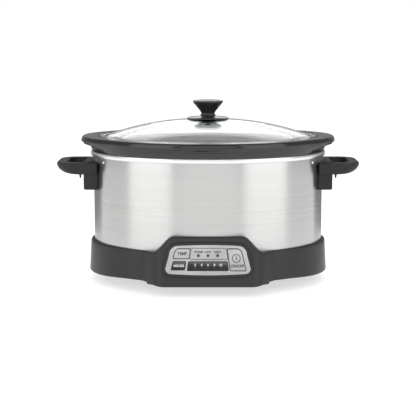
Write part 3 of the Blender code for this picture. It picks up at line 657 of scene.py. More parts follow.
def screw_tree():
    """Pan-head screws with a cross recess, one on each point, standing along the point's facing."""
    tree, entry, leave = node_tree(
        "Cross Head Screws", Head_Radius=3 * MM, Head_Height=1.6 * MM, Shank_Radius=1.5 * MM, Length=8 * MM,
        Recess=0.6 * MM)
    dome = add_node(
        tree, "GeometryNodeMeshCone",
        {"Radius Bottom": entry["Head Radius"], "Depth": entry["Head Height"]},
        Vertices=40, Side_Segments=1)
    tree.links.new(calc(tree, "MULTIPLY", entry["Head Radius"], 0.82), dome.inputs["Radius Top"])
    shank = add_node(
        tree, "GeometryNodeMeshCylinder",
        {"Radius": entry["Shank Radius"], "Depth": entry["Length"]}, Vertices=24)
    sunk = calc(tree, "MULTIPLY", calc(tree, "ADD", entry["Length"], -0.4 * MM), -0.5)
    shank_place = add_node(tree, "ShaderNodeCombineXYZ", {"Z": sunk})
    shank_moved = add_node(
        tree, "GeometryNodeTransform",
        {"Geometry": shank.outputs["Mesh"], "Translation": shank_place.outputs[0]})
    solid = add_node(tree, "GeometryNodeMeshBoolean", operation="UNION", solver="EXACT")
    tree.links.new(dome.outputs["Mesh"], solid.inputs["Mesh 2"])
    tree.links.new(shank_moved.outputs[0], solid.inputs["Mesh 2"])
    slot_long = calc(tree, "MULTIPLY", entry["Head Radius"], 1.15)
    cut = add_node(
        tree, "GeometryNodeMeshBoolean", {"Mesh 1": solid.outputs["Mesh"]}, operation="DIFFERENCE",
        solver="EXACT")
    for turn in (0.0, math.pi / 2):
        size = add_node(tree, "ShaderNodeCombineXYZ", {"X": slot_long, "Z": entry["Head Height"]})
        tree.links.new(entry["Recess"], size.inputs["Y"])
        bar = add_node(tree, "GeometryNodeMeshCube", {"Size": size.outputs[0]})
        raised = add_node(tree, "ShaderNodeCombineXYZ", {
            "Z": calc(tree, "MULTIPLY", entry["Head Height"], 0.95)})
        moved = add_node(
            tree, "GeometryNodeTransform",
            {"Geometry": bar.outputs["Mesh"], "Translation": raised.outputs[0]},
            Rotation=(0.0, 0.0, turn))
        tree.links.new(moved.outputs[0], cut.inputs["Mesh 2"])
    close_tree(tree, entry, leave, stand_on_points(tree, entry, cut.outputs["Mesh"]))
    return tree


def stand_on_points(tree, entry, mesh):
    """Instance a mesh on every point, with its +Z along the point's stored facing."""
    stored = add_node(tree, "GeometryNodeInputNamedAttribute", data_type="FLOAT_VECTOR", Name="facing")
    turn = add_node(tree, "FunctionNodeAlignRotationToVector", {"Vector": stored.outputs["Attribute"]},
        axis="Z")
    placed = add_node(tree, "GeometryNodeInstanceOnPoints", {
        "Points": entry["Geometry"], "Instance": mesh, "Rotation": turn.outputs["Rotation"]})
    return placed.outputs["Instances"]


def foot_tree():
    """Rubber feet: a turned outline with grip rings on its sole, one on each point."""
    tree, entry, leave = node_tree("Ringed Feet", Radius=8 * MM, Height=11 * MM, Ring=0.5 * MM, Rings=3)
    body = add_node(tree, "GeometryNodeMeshCone", {
        "Radius Top": calc(tree, "MULTIPLY", entry["Radius"], 1.05),
        "Radius Bottom": entry["Radius"],
        "Depth": calc(tree, "SUBTRACT", entry["Height"], entry["Ring"])}, Vertices=48)
    lift = add_node(tree, "ShaderNodeCombineXYZ", {"Z": entry["Ring"]})
    raised = add_node(
        tree, "GeometryNodeTransform", {"Geometry": body.outputs["Mesh"], "Translation": lift.outputs[0]})
    line = add_node(tree, "GeometryNodeMeshLine", {"Count": entry["Rings"]})
    ring_step = calc(tree, "DIVIDE", entry["Radius"], calc(tree, "ADD", entry["Rings"], 0.6))
    circle = add_node(tree, "GeometryNodeCurvePrimitiveCircle", Resolution=48, Radius=1.0)
    index = add_node(tree, "GeometryNodeInputIndex")
    scale = calc(tree, "MULTIPLY", calc(tree, "ADD", index.outputs[0], 1.0), ring_step)
    circles = add_node(tree, "GeometryNodeInstanceOnPoints", {
        "Points": line.outputs["Mesh"], "Instance": circle.outputs["Curve"]})
    grow = add_node(tree, "ShaderNodeCombineXYZ", {"X": scale, "Y": scale}, Z=1.0)
    tree.links.new(grow.outputs[0], circles.inputs["Scale"])
    flat = add_node(tree, "GeometryNodeRealizeInstances", {"Geometry": circles.outputs["Instances"]})
    level = add_node(tree, "GeometryNodeSetPosition", {"Geometry": flat.outputs[0]})
    place = add_node(tree, "GeometryNodeInputPosition")
    parts = add_node(tree, "ShaderNodeSeparateXYZ", {"Vector": place.outputs[0]})
    lowered = add_node(tree, "ShaderNodeCombineXYZ", {
        "X": parts.outputs["X"], "Y": parts.outputs["Y"], "Z": entry["Ring"]})
    tree.links.new(lowered.outputs[0], level.inputs["Position"])
    bead = add_node(tree, "GeometryNodeCurvePrimitiveCircle", {"Radius": entry["Ring"]}, Resolution=8)
    tread = add_node(tree, "GeometryNodeCurveToMesh", {
        "Curve": level.outputs["Geometry"], "Profile Curve": bead.outputs["Curve"]})
    both = add_node(tree, "GeometryNodeJoinGeometry")
    tree.links.new(tread.outputs["Mesh"], both.inputs["Geometry"])
    tree.links.new(raised.outputs[0], both.inputs["Geometry"])
    placed = add_node(tree, "GeometryNodeInstanceOnPoints", {
        "Points": entry["Geometry"], "Instance": both.outputs["Geometry"]})
    close_tree(tree, entry, leave, placed.outputs["Instances"])
    return tree


def ball_tree(name, segments, radius, **scales):
    """Flattened balls, one on each point, standing along the point's facing.

    Each scale gives an axis, the name of its input and that input's default.
    """
    tree, entry, leave = node_tree(name, Radius=radius, **dict(scales.values()))
    ball = add_node(
        tree, "GeometryNodeMeshUVSphere", {"Radius": entry["Radius"]}, Segments=segments,
        Rings=segments // 2)
    size = add_node(tree, "ShaderNodeCombineXYZ", X=1.0, Y=1.0)
    for axis, (label, _) in scales.items():
        tree.links.new(entry[label], size.inputs[axis])
    shaped = add_node(
        tree, "GeometryNodeTransform", {"Geometry": ball.outputs["Mesh"], "Scale": size.outputs[0]})
    close_tree(tree, entry, leave, stand_on_points(tree, entry, shaped.outputs[0]))
    return tree


def spring_tree():
    """A closed-end helical spring from a spiral and a round wire."""
    tree, entry, leave = node_tree(
        "Helical Spring", Coil_Radius=5.5 * MM, Wire=0.45 * MM, Height=5 * MM, Turns=3.0)
    coil = add_node(tree, "GeometryNodeCurveSpiral", {
        "Rotations": entry["Turns"], "Start Radius": entry["Coil Radius"],
        "End Radius": entry["Coil Radius"], "Height": entry["Height"]}, Resolution=40)
    wire = add_node(tree, "GeometryNodeCurvePrimitiveCircle", {"Radius": entry["Wire"]}, Resolution=12)
    solid = add_node(tree, "GeometryNodeCurveToMesh", {
        "Curve": coil.outputs["Curve"], "Profile Curve": wire.outputs["Curve"]}, Fill_Caps=True)
    placed = add_node(tree, "GeometryNodeInstanceOnPoints", {
        "Points": entry["Geometry"], "Instance": solid.outputs["Mesh"]})
    close_tree(tree, entry, leave, placed.outputs["Instances"])
    return tree


# ---------------------------------------------------------------- shell and liner

def rivet_frames():
    half_x, half_y = SHELL_TOP.x, SHELL_TOP.y
    centre = middle_of("shell_rivet_right")
    frames = []
    for side in (-1, 1):
        a = math.atan2(abs(centre.y) / half_y, centre.x / half_x)
        place = Vector((side * half_x * math.cos(a), -half_y * math.sin(a), centre.z))
        normal = Vector((place.x / half_x ** 2, place.y / half_y ** 2, 0)).normalized()
        frames.append((place, normal))
    return frames


class COOKER_OT_shell(bpy.types.Operator):
    """Build the brushed shell and its rivets"""
    bl_idname = "cooker.shell"
    bl_label = "Shell"

    def execute(self, context):
        low = low_corner("outer_shell").z
        high = SHELL_TOP.z
        inner = SHELL_OFFSET - SHELL_SKIN
        profile = [(SHELL_OFFSET, low, 0.3 * MM)]
        profile += [(SHELL_OFFSET, low + (high - low) * k / 6, 0.0) for k in range(1, 6)]
        profile += [(SHELL_OFFSET, high, 0.3 * MM), (inner, high, 0.3 * MM), (inner, low, 0.3 * MM)]
        rings = [core_oval(p[0], p[1]) for p in round_corners(profile)]
        shell = skin("steel_shell", rings, MATS["brushed_steel"])
        corners = ((-1, NOTCH_LOW_Z), (1, NOTCH_LOW_Z), (1, NOTCH_TOP_Z), (-1, NOTCH_TOP_Z))
        front = [[(side * NOTCH_HALF, y, z) for side, z in corners] for y in (-130 * MM, -85 * MM)]
        combine(shell, [("DIFFERENCE", skin("notch_tool", front, None, False))])
        settle(shell, "housing", "brushed_steel", "outer_shell")
        frames = rivet_frames()
        stand_pieces(
            "shell_rivets", ball_tree("Dome Rivets", 36, 1.9 * MM, Z=("Rise", 0.55)),
            [p + n * 0.1 * MM for p, n in frames], [n for _, n in frames], "housing", "chrome",
            ("shell_rivet_left", "shell_rivet_right"), Radius=1.9 * MM, Rise=0.6)
        return {"FINISHED"}


class COOKER_OT_liner(bpy.types.Operator):
    """Build the heating liner with its polished rolled lip"""
    bl_idname = "cooker.liner"
    bl_label = "Liner"

    def execute(self, context):
        wall = 0.5 * MM
        bead = sizes().bead_reach
        top = LINER_TOP.z
        floor = LINER_LOW.z
        lip_low = top - 6.7 * MM
        profile = [
            (-wall, floor + 8 * MM, 5 * MM), (-wall, top - 9 * MM, 6 * MM),
            (2.2 * MM, top - 1.6 * MM, 3 * MM),
            (5.8 * MM, top, 3 * MM), (bead - 0.6 * MM, top - 0.2 * MM, 3.2 * MM),
            (bead, top - 3.4 * MM, 2.6 * MM),
            (bead - 0.5 * MM, lip_low, 1.0 * MM), (bead - 2.4 * MM, lip_low, 0.6 * MM),
            (bead - 1.4 * MM, top - 3.4 * MM, 1.4 * MM), (bead - 4.6 * MM, top - 1.0 * MM, 2 * MM),
            (2.8 * MM, top - 2.6 * MM, 2 * MM), (wall, top - 9 * MM, 5 * MM),
            (wall, floor + 8 * MM, 5 * MM),
            (-6 * MM, floor, 4 * MM), (-20 * MM, floor, 0.0), (-95 * MM, floor, 0.0),
            (-95 * MM, floor + 1 * MM, 0.0), (-20 * MM, floor + 1 * MM, 0.0),
            (-6.6 * MM, floor + 1 * MM, 3.6 * MM),
        ]
        rings = [core_oval(p[0], p[1]) for p in round_corners(profile)]
        liner = skin("polished_liner", rings, MATS["polished_aluminium"])
        centre = middle_of("sensor_cup")
        place = Matrix.Translation((centre.x, centre.y, floor))
        combine(liner, [("DIFFERENCE", round_tool(10.6 * MM, -4 * MM, 4 * MM, place))])
        settle(liner, "housing", "polished_aluminium", "heating_liner")
        low, high = low_corner("sensor_spring"), high_corner("sensor_spring")
        stand_pieces(
            "sensor_coil", spring_tree(), [Vector((centre.x, centre.y, low.z + 0.45 * MM))], None,
            "housing", "zinc_steel", ["sensor_spring"], Height=high.z - low.z - 0.9 * MM)
        return {"FINISHED"}


# ---------------------------------------------------------------- base

def nose_face_depth(z):
    return -BASE_LOW.y - (z - BASE_EDGE_Z) * math.tan(NOSE_TILT)


def base_angles():
    """Angles round the base, twice as close across the front, where the nose stands out."""
    count = sizes().segments
    angles = []
    for i in range(count):
        a = math.tau * i / count
        angles.append(a)
        if 1.27 * math.pi <= a < 1.73 * math.pi:
            angles.append(a + math.pi / count)
    return angles


def base_edge_z(x, y):
    arch = smoothstep(150 * MM, 95 * MM, abs(x))
    if y < 0:
        arch *= smoothstep(NOSE_FLAT_HALF, NOSE_BLEND_HALF, abs(x))
    return BASE_EDGE_Z + BASE_ARCH * arch


def base_top_z(x, y):
    rise = smoothstep(NOSE_SHOULDER_HALF, NOSE_TOP_HALF, abs(x)) if y < 0 else 0.0
    return SEAM_Z + (BASE_TOP.z - SEAM_Z) * rise


def base_point(a, inset, share, drop, fixed_z, follows_nose, hugs_shell):
    """A point of the base's section at one angle, on the outer wall or against the shell."""
    if hugs_shell > 0.5:
        x = (CORE_X + inset) * math.cos(a)
        y = (CORE_Y + inset) * math.sin(a)
        z = base_top_z(x, y) + drop if share > 0.5 else fixed_z
        return x, y, z
    height = share if fixed_z <= 0 else (fixed_z - BASE_EDGE_Z) / (SEAM_Z - BASE_EDGE_Z)
    taper = min(1.0, max(0.0, height))
    x = (BASE_TOP.x - 2.2 * MM * taper - inset) * math.cos(a)
    y = (BASE_TOP.y - 3.6 * MM * taper - inset) * math.sin(a)
    if fixed_z > 0:
        z = fixed_z
    else:
        low = base_edge_z(x, y)
        z = low + (base_top_z(x, y) - low) * share + drop
    if follows_nose and y < 0:
        blend = smoothstep(NOSE_BLEND_HALF, NOSE_FLAT_HALF, abs(x))
        y = -((1 - blend) * -y + blend * (nose_face_depth(z) - inset))
    return x, y, z


def base_rings():
    clear = SHELL_OFFSET + 0.4 * MM
    ledge = SHELL_OFFSET - 3.2 * MM
    section = [
        (0.9 * MM, 0.0, 0.0, 0.0, True, 0), (0.25 * MM, 0.0, 0.25 * MM, 0.0, True, 0),
        (0.0, 0.0, 0.9 * MM, 0.0, True, 0),
    ]
    section += [(0.0, k / 12, 0.0, 0.0, True, 0) for k in range(1, 11)]
    top_edge = 2.4 * MM
    for k in range(7):
        a = math.pi / 2 * k / 6
        section.append((top_edge * 0.55 * (1 - math.cos(a)), 1.0, -top_edge * (1 - math.sin(a)), 0.0,
            True, 0))
    section += [
        (clear, 1.0, 0.0, 0.0, True, 1), (clear, 0.0, 0.0, SEAM_Z - 2.4 * MM, True, 1),
        (ledge, 0.0, 0.0, SEAM_Z - 2.4 * MM, True, 1), (ledge, 0.0, 0.0, SEAM_Z - 4.6 * MM, True, 1),
        (BASE_WALL, 0.0, 0.0, SEAM_Z - 6.5 * MM, True, 0),
        (BASE_WALL, 0.0, 0.0, FLANGE_Z + 2.6 * MM, True, 0),
        (13 * MM, 0.0, 0.0, FLANGE_Z + 2.6 * MM, False, 0), (13 * MM, 0.0, 0.0, FLANGE_Z, False, 0),
        (BASE_WALL, 0.0, 0.0, FLANGE_Z, True, 0), (BASE_WALL, 0.0, 0.3 * MM, 0.0, True, 0),
        (BASE_WALL - 0.5 * MM, 0.0, 0.0, 0.0, True, 0),
    ]
    return [[base_point(a, *step) for a in base_angles()] for step in section]


def cover_screw_points():
    names = [f"cover_screw_{number}" for number in range(1, 5)]
    return [Vector((*middle_of(name).xy, low_corner(name).z + 1.6 * MM)) for name in names], names


def foot_points():
    names = [f"foot_{side}_{end}" for side in ("left", "right") for end in ("front", "rear")]
    return [Vector((*middle_of(name).xy, 0)) for name in names], names


class COOKER_OT_base(bpy.types.Operator):
    """Build the base with its panel nose, its feet and the screws under it"""
    bl_idname = "cooker.base"
    bl_label = "Base"

    def execute(self, context):
        tray = skin("moulded_base", base_rings(), MATS["black_plastic"])
        pocket = [[(s, t, n) for s, t in plate_outline(BEZEL_WIDTH + 0.3 * MM)] for n in (-14 * MM, 8 * MM)]
        gland = middle_of("cord_gland")
        tools = [
            ("DIFFERENCE", skin("pocket_tool", pocket, None, False, panel_matrix())),
            ("DIFFERENCE", round_tool(6.6 * MM, -12 * MM, 12 * MM, facing(gland, (0, 1, 0)))),
        ]
        combine(tray, tools)
        settle(tray, "housing", "black_plastic", "base_tray")
        down = Vector((0, 0, -1))
        points, names = cover_screw_points()
        stand_pieces(
            "cover_screws", screw_tree(), points, [down] * 4, "housing", "zinc_steel", names,
            Head_Radius=3 * MM,
            Head_Height=1.6 * MM, Shank_Radius=1.5 * MM, Length=7.4 * MM, Recess=0.6 * MM)
        points, names = foot_points()
        stand_pieces(
            "ringed_feet", foot_tree(), points, None, "housing", "rubber", names, Radius=8 * MM,
            Height=FLANGE_Z - 3.1 * MM, Ring=0.5 * MM, Rings=3)
        return {"FINISHED"}


# ---------------------------------------------------------------- crock and lid

def rim_ring(half_x, half_y, z, lug):
    ring = []
    for a in turn_angles():
        reach = lug * sizes().lug_reach * smoothstep(0.80, 0.99, abs(math.cos(a)))
        ring.append(((half_x + reach) * math.cos(a), half_y * math.sin(a), z))
    return ring


class COOKER_OT_crock(bpy.types.Operator):
    """Build the glazed crock with its end lugs and lid recess"""
    bl_idname = "cooker.crock"
    bl_label = "Crock"

    def execute(self, context):
        low = LINER_TOP.z + 0.3 * MM
        top = CROCK_TOP.z
        floor = CROCK_LOW.z
        taper = math.tan(math.radians(3.6)) * (low - floor - 8 * MM)
        wall = 7 * MM
        outer_x, outer_y = 137 * MM, 100 * MM
        inner_x, inner_y = outer_x - wall, outer_y - wall
        rim_y = CROCK_TOP.y
        lid_x, lid_y = LID_TOP.x, LID_TOP.y
        profile = [
            (outer_x - taper - 40 * MM, outer_y - taper - 40 * MM, floor, 0, 0.0),
            (outer_x - taper - 1.5 * MM, outer_y - taper - 1.5 * MM, floor, 0, 8 * MM),
            (outer_x, outer_y, low, 0, 2 * MM),
            (RIM_X - 1.6 * MM, rim_y - 2.6 * MM, low, -0.25, 1.6 * MM),
            (RIM_X - 0.8 * MM, rim_y - 1.4 * MM, low + 4.4 * MM, 0.04, 3 * MM),
            (RIM_X - 0.2 * MM, rim_y - 0.6 * MM, low + 8.4 * MM, 0.36, 2 * MM),
            (RIM_X, rim_y - 0.2 * MM, low + 10.4 * MM, 0.80, 2 * MM),
            (RIM_X, rim_y, low + 13 * MM, 1.0, 1.6 * MM),
            (RIM_X - 0.7 * MM, rim_y - 0.9 * MM, top, 0.98, 3.4 * MM),
            (RIM_X - 7 * MM, rim_y - 7 * MM, top, 0.55, 2 * MM),
            (lid_x + 1.2 * MM, lid_y + 1.2 * MM, top - 0.3 * MM, 0, 1.6 * MM),
            (lid_x + 0.7 * MM, lid_y + 0.7 * MM, LID_SEAT_Z, 0, 1.2 * MM),
            (inner_x + 1.2 * MM, inner_y + 1.2 * MM, LID_SEAT_Z, 0, 2 * MM),
            (inner_x, inner_y, LID_SEAT_Z - 4 * MM, 0, 2 * MM),
            (inner_x - taper, inner_y - taper, floor + 8 * MM, 0, 13 * MM),
            (inner_x - taper - 40 * MM, inner_y - taper - 40 * MM, floor + 8 * MM, 0, 0.0),
        ]
        rings = [rim_ring(*point) for point in round_corners(profile, closed=False)]
        crock = skin("stoneware_crock", rings, MATS["black_glaze"], ring_shaped=False)
        settle(crock, "crock", "black_glaze", "crock")
        return {"FINISHED"}


def dome_rows(shift, count=26):
    """Ovals over the lid's dome, from its edge to near its top."""
    flange = 7.5 * MM
    flange_top = LID_LOW.z + sizes().glass
    rise = LID_TOP.z - flange_top
    rows = []
    for i in range(count):
        share = 0.995 - 0.955 * i / (count - 1)
        z = flange_top + rise * (1 - share ** 2.2) - shift
        rows.append(oval((LID_TOP.x - flange) * share, (LID_TOP.y - flange) * share, z))
    return rows


class COOKER_OT_lid(bpy.types.Operator):
    """Build the glass lid, its knob, skirt, gasket and screw"""
    bl_idname = "cooker.lid"
    bl_label = "Lid"

    def execute(self, context):
        glass = sizes().glass
        low = LID_LOW.z
        high = low + glass
        edge = [
            (-16 * MM, low + 2 * MM, 0.0), (-8.6 * MM, low, 3 * MM), (0.0, low, 1.4 * MM),
            (0.0, high, 1.6 * MM),
            (-6.4 * MM, high, 0.6 * MM), (-8.3 * MM, high + 0.5 * MM, 0.0),
        ]
        rim = [oval(LID_TOP.x + p[0], LID_TOP.y + p[0], p[1]) for p in round_corners(edge,
            closed=False)][1:-1]
        hole = 3.2 * MM
        crown = [oval(hole, hole, LID_TOP.z), oval(hole, hole, LID_TOP.z - glass)]
        under = list(reversed(dome_rows(glass)))
        pane = skin("glass_lid", rim + dome_rows(0.0) + crown + under, MATS["clear_glass"])
        settle(pane, "lid", "clear_glass", "lid_glass")
        self.knob()
        return {"FINISHED"}

    def knob(self):
        low, top = KNOB_LOW.z, KNOB_TOP.z
        radius = KNOB_TOP.x
        bore = 2.7 * MM
        profile = [
            (bore, low + 12 * MM, 0.0), (bore, low, 0.3 * MM), (10.5 * MM, low, 0.4 * MM),
            (9.4 * MM, low + 1.4 * MM, 0.8 * MM), (8.4 * MM, low + 3.2 * MM, 2 * MM),
            (10.4 * MM, low + 6.4 * MM, 3 * MM),
            (17.8 * MM, low + 15.2 * MM, 3 * MM), (radius - 0.1 * MM, low + 17.6 * MM, 1 * MM),
            (radius, top - 0.6 * MM, 1.2 * MM), (radius - 2.4 * MM, top - 0.1 * MM, 2 * MM),
            (2 * MM, top, 0.0),
        ]
        knob = turned("black_knob", profile, MATS["knob_plastic"], 96, ring_shaped=False)
        settle(knob, "lid", "knob_plastic", "lid_knob")
        base, rim = SKIRT_LOW.z, SKIRT_TOP.x
        crown = SKIRT_TOP.z
        skirt = turned("knob_disc", [
            (bore, base + 0.5 * MM, 0.2 * MM), (rim - 3 * MM, base + 0.5 * MM, 1 * MM),
            (rim - 0.4 * MM, base, 0.3 * MM),
            (rim, base + 0.7 * MM, 0.4 * MM), (rim - 2 * MM, base + 2.0 * MM, 1.6 * MM),
            (14 * MM, crown - 0.3 * MM, 2 * MM), (12 * MM, crown, 0.6 * MM), (bore, crown, 0.3 * MM),
        ], MATS["knob_plastic"], 96)
        settle(skirt, "lid", "knob_plastic", "knob_skirt")
        gasket_low, gasket_top = low_corner("knob_gasket"), high_corner("knob_gasket")
        gasket = turned("soft_gasket", [
            (bore, gasket_low.z, 0.2 * MM), (gasket_top.x, gasket_low.z, 0.6 * MM),
            (gasket_top.x, gasket_top.z, 0.6 * MM), (bore, gasket_top.z, 0.2 * MM),
        ], MATS["rubber"], 64)
        settle(gasket, "lid", "rubber", "knob_gasket")
        screw_low, screw_top = low_corner("knob_screw"), high_corner("knob_screw")
        seat = screw_low.z + 2.6 * MM
        stand_pieces(
            "lid_screw", screw_tree(), [Vector((0, 0, seat - 1.3 * MM))], [Vector((0, 0, -1))], "lid",
            "zinc_steel",
            ["knob_screw"], Head_Radius=screw_top.x, Head_Height=1.3 * MM, Shank_Radius=2.3 * MM,
            Length=screw_top.z - seat, Recess=1.0 * MM)


# ---------------------------------------------------------------- handles

def loop_outline(x_in, x_out, half_y, corner, count=14):
    """Plan outline of the grip: square at the shell side, rounded at the outer end."""
    points = []
    small = 2 * MM
    for centre_x, centre_y, start, radius in (
        (x_out - corner, half_y - corner, 0, corner), (x_in + small, half_y - small, 90, small),
        (x_in + small, -half_y + small, 180, small), (x_out - corner, -half_y + corner, 270, corner),
    ):
        points += quarter_arc(centre_x, centre_y, radius, start, count)
    return points


def rounded_block(name, low, high, radius):
    """A block whose vertical edges and outer faces are rounded, as a stack of outlines."""
    centre_x, centre_y = (low.x + high.x) / 2, (low.y + high.y) / 2
    half_x, half_y = (high.x - low.x) / 2, (high.y - low.y) / 2
    rings = []
    for inset, z in round_corners([
        (2 * radius, low.z, 0.0), (0.0, low.z, radius), (0.0, high.z, radius), (2 * radius, high.z, 0.0),
    ], closed=False):
        ring = []
        for sign_x, sign_y, start in ((1, 1, 0), (-1, 1, 90), (-1, -1, 180), (1, -1, 270)):
            arc = quarter_arc(
                centre_x + sign_x * (half_x - radius - inset),
                centre_y + sign_y * (half_y - radius - inset),
                radius, start, 6)
            ring += [(x, y, z) for x, y in arc]
        rings.append(ring)
    return skin(name, rings, None, False)


class COOKER_OT_handles(bpy.types.Operator):
    """Build both loop handles and their screws"""
    bl_idname = "cooker.handles"
    bl_label = "Handles"

    def execute(self, context):
        for word, side in (("left", -1), ("right", 1)):
            self.handle(word, side)
            names = [f"handle_screw_{word}_{end}" for end in ("front", "rear")]
            places = [Vector((side * (CORE_X + 15.1 * MM), *middle_of(name).yz)) for name in names]
            stand_pieces(
                f"{word}_handle_screws", screw_tree(), places, [Vector((side, 0, 0))] * 2, "housing",
                "zinc_steel",
                names, Head_Radius=3.6 * MM, Head_Height=2.0 * MM, Shank_Radius=1.9 * MM, Length=11.2 * MM,
                Recess=0.7 * MM)
        return {"FINISHED"}

    def handle(self, word, side):
        back, tip = CORE_X, GRIP_TOP.x
        low, top = GRIP_LOW_Z, GRIP_TOP.z
        half = GRIP_TOP.y
        corner = sizes().grip_corner
        rings = []
        steps = 14
        for k in range(steps + 1):
            turn = math.pi / 2 * (1 - k / steps)
            swing = 1 - math.cos(turn)
            z = top - 1.2 * MM - (top - 1.2 * MM - low) * math.sin(turn)
            outline = loop_outline(back, tip - 19 * MM * swing, half - 3.4 * MM * swing,
                corner - 8 * MM * swing)
            rings.append([(side * x, y, z) for x, y in outline])
        inner_edge = [
            (back, tip - 0.5 * MM, half - 0.4 * MM, corner, top - 0.35 * MM),
            (back, tip - 1.4 * MM, half - 1.2 * MM, corner, top),
            (PAD_FACE_X, tip - 10.6 * MM, half - 9.8 * MM, corner - 8 * MM, top),
            (PAD_FACE_X, tip - 11.4 * MM, half - 10.5 * MM, corner - 9 * MM, top - 0.5 * MM),
            (PAD_FACE_X, tip - 11.8 * MM, half - 10.8 * MM, corner - 10 * MM, top - 1.6 * MM),
            (PAD_FACE_X, tip - 15 * MM, half - 11 * MM, corner - 11 * MM, low + 1 * MM),
            (PAD_FACE_X, tip - 16 * MM, half - 10.4 * MM, corner - 11 * MM, low),
        ]
        for x_in, x_out, half_y, radius, z in inner_edge:
            rings.append([(side * x, y, z) for x, y in loop_outline(x_in, x_out, half_y, radius)])
        handle = skin(f"{word}_loop_handle", rings, MATS["handle_plastic"])
        inner, outer = sorted((side * (CORE_X - 1 * MM), side * PAD_FACE_X))
        pad = rounded_block(
            "pad_tool", Vector((inner, -PAD_HALF_Y, GRIP_LOW.z)),
            Vector((outer, PAD_HALF_Y, top - 0.4 * MM)), 2.4 * MM)
        tools = [("UNION", pad)]
        for y in (-33 * MM, 33 * MM):
            peg_rings = [oval(r, r, z, 24) for r, z in (
                (0.5 * MM, low - 5 * MM), (0.9 * MM, low - 4.7 * MM), (1.3 * MM, low - 2 * MM),
                (1.9 * MM, low + 3 * MM))]
            peg = skin("peg_tool", peg_rings, None, False, Matrix.Translation((side * 162 * MM, y, 0)))
            tools.append(("UNION", peg))
        clear = SHELL_OFFSET + 0.3 * MM
        tools.append(("DIFFERENCE", skin(
            "shell_tool", [core_oval(clear, 90 * MM), core_oval(clear, 180 * MM)], None, False)))
        for end in ("front", "rear"):
            middle = middle_of(f"handle_screw_{word}_{end}")
            line = facing((side * CORE_X, middle.y, middle.z), (side, 0, 0))
            tools.append(("DIFFERENCE", round_tool(4 * MM, 14.6 * MM, 30 * MM, line)))
            tools.append(("DIFFERENCE", round_tool(2.3 * MM, 0, 30 * MM, line)))
        combine(handle, tools)
        settle(handle, "housing", "black_plastic", f"handle_{word}")


# ---------------------------------------------------------------- control panel

def panel_matrix():
    """Panel frame: X runs right, Y up the face and Z out of it."""
    right = Vector((1, 0, 0))
    up = Vector((0, math.sin(NOSE_TILT), math.cos(NOSE_TILT)))
    out = right.cross(up)
    place = middle_of("panel_plate") + out * 0.35 * MM
    turn = Matrix((right, up, out)).transposed().to_4x4()
    return Matrix.Translation(place) @ turn


def plate_outline(grow=0.0, count=14):
    """Round-cornered trapezoid with gently bowed top and bottom edges."""
    half_t = PLATE_HALF_HEIGHT + grow
    slope = (PLATE_HALF_BOTTOM - PLATE_HALF_TOP) / (2 * PLATE_HALF_HEIGHT)
    points = []
    for sign_s, sign_t, start in ((1, 1, 0), (-1, 1, 90), (-1, -1, 180), (1, -1, 270)):
        radius = grow + (PLATE_CORNER_TOP if sign_t > 0 else PLATE_CORNER_BOTTOM)
        centre_t = sign_t * (half_t - radius)
        half_s = PLATE_HALF_TOP + grow + slope * (PLATE_HALF_HEIGHT - centre_t)
        points += quarter_arc(sign_s * (half_s - radius), centre_t, radius, start, count)
        if sign_s == sign_t:
            reach = half_s - radius
            points += [(sign_s * reach * (1 - k / 12), sign_t * half_t) for k in range(1, 24)]
    widest = PLATE_HALF_BOTTOM
    return [(s, t + math.copysign(PLATE_BOW * (1 - min(1.0, abs(s) / widest) ** 2), t) * (abs(t) / half_t))
            for s, t in points]


def key_outline(edges, corner=KEY_CORNER, grow=0.0, count=8):
    """Round-cornered key or window shape whose sides fan out towards the bottom as the plate's do.

    The upper outer corner of the two outer keys follows the plate's own rounded corner.
    """
    soft = {TEMP_BOX: (-1, 1), POWER_BOX: (1, 1)}.get(edges)
    fan = (PLATE_HALF_BOTTOM - PLATE_HALF_TOP) / (PLATE_HALF_BOTTOM + PLATE_HALF_TOP) / PLATE_HALF_HEIGHT
    left, right, low, high = edges
    points = []
    for s, t, start in ((right, high, 0), (left, high, 90), (left, low, 180), (right, low, 270)):
        side = (1 if s == right else -1, 1 if t == high else -1)
        bend = SOFT_CORNER if side == soft else corner
        radius = bend + grow
        centre_s = s - side[0] * bend
        centre_t = t - side[1] * bend
        arc = quarter_arc(centre_s, centre_t, radius, start, count)
        points += [(s_point * (1 - fan * t_point), t_point) for s_point, t_point in arc]
    return points


def outline_stack(outline, section):
    return [[(s, t, n) for s, t in outline(grow)] for grow, n in section]


def frame_line(name, outline, width, n, body, mat_key, slot):
    """A printed line that follows an outline, as a thin raised band."""
    high = n + sizes().mark_height
    rings = outline_stack(outline, [(width, n), (width, high), (0.0, high), (0.0, n)])
    return settle(skin(name, rings, MATS[mat_key], True, panel_matrix()), body, slot)


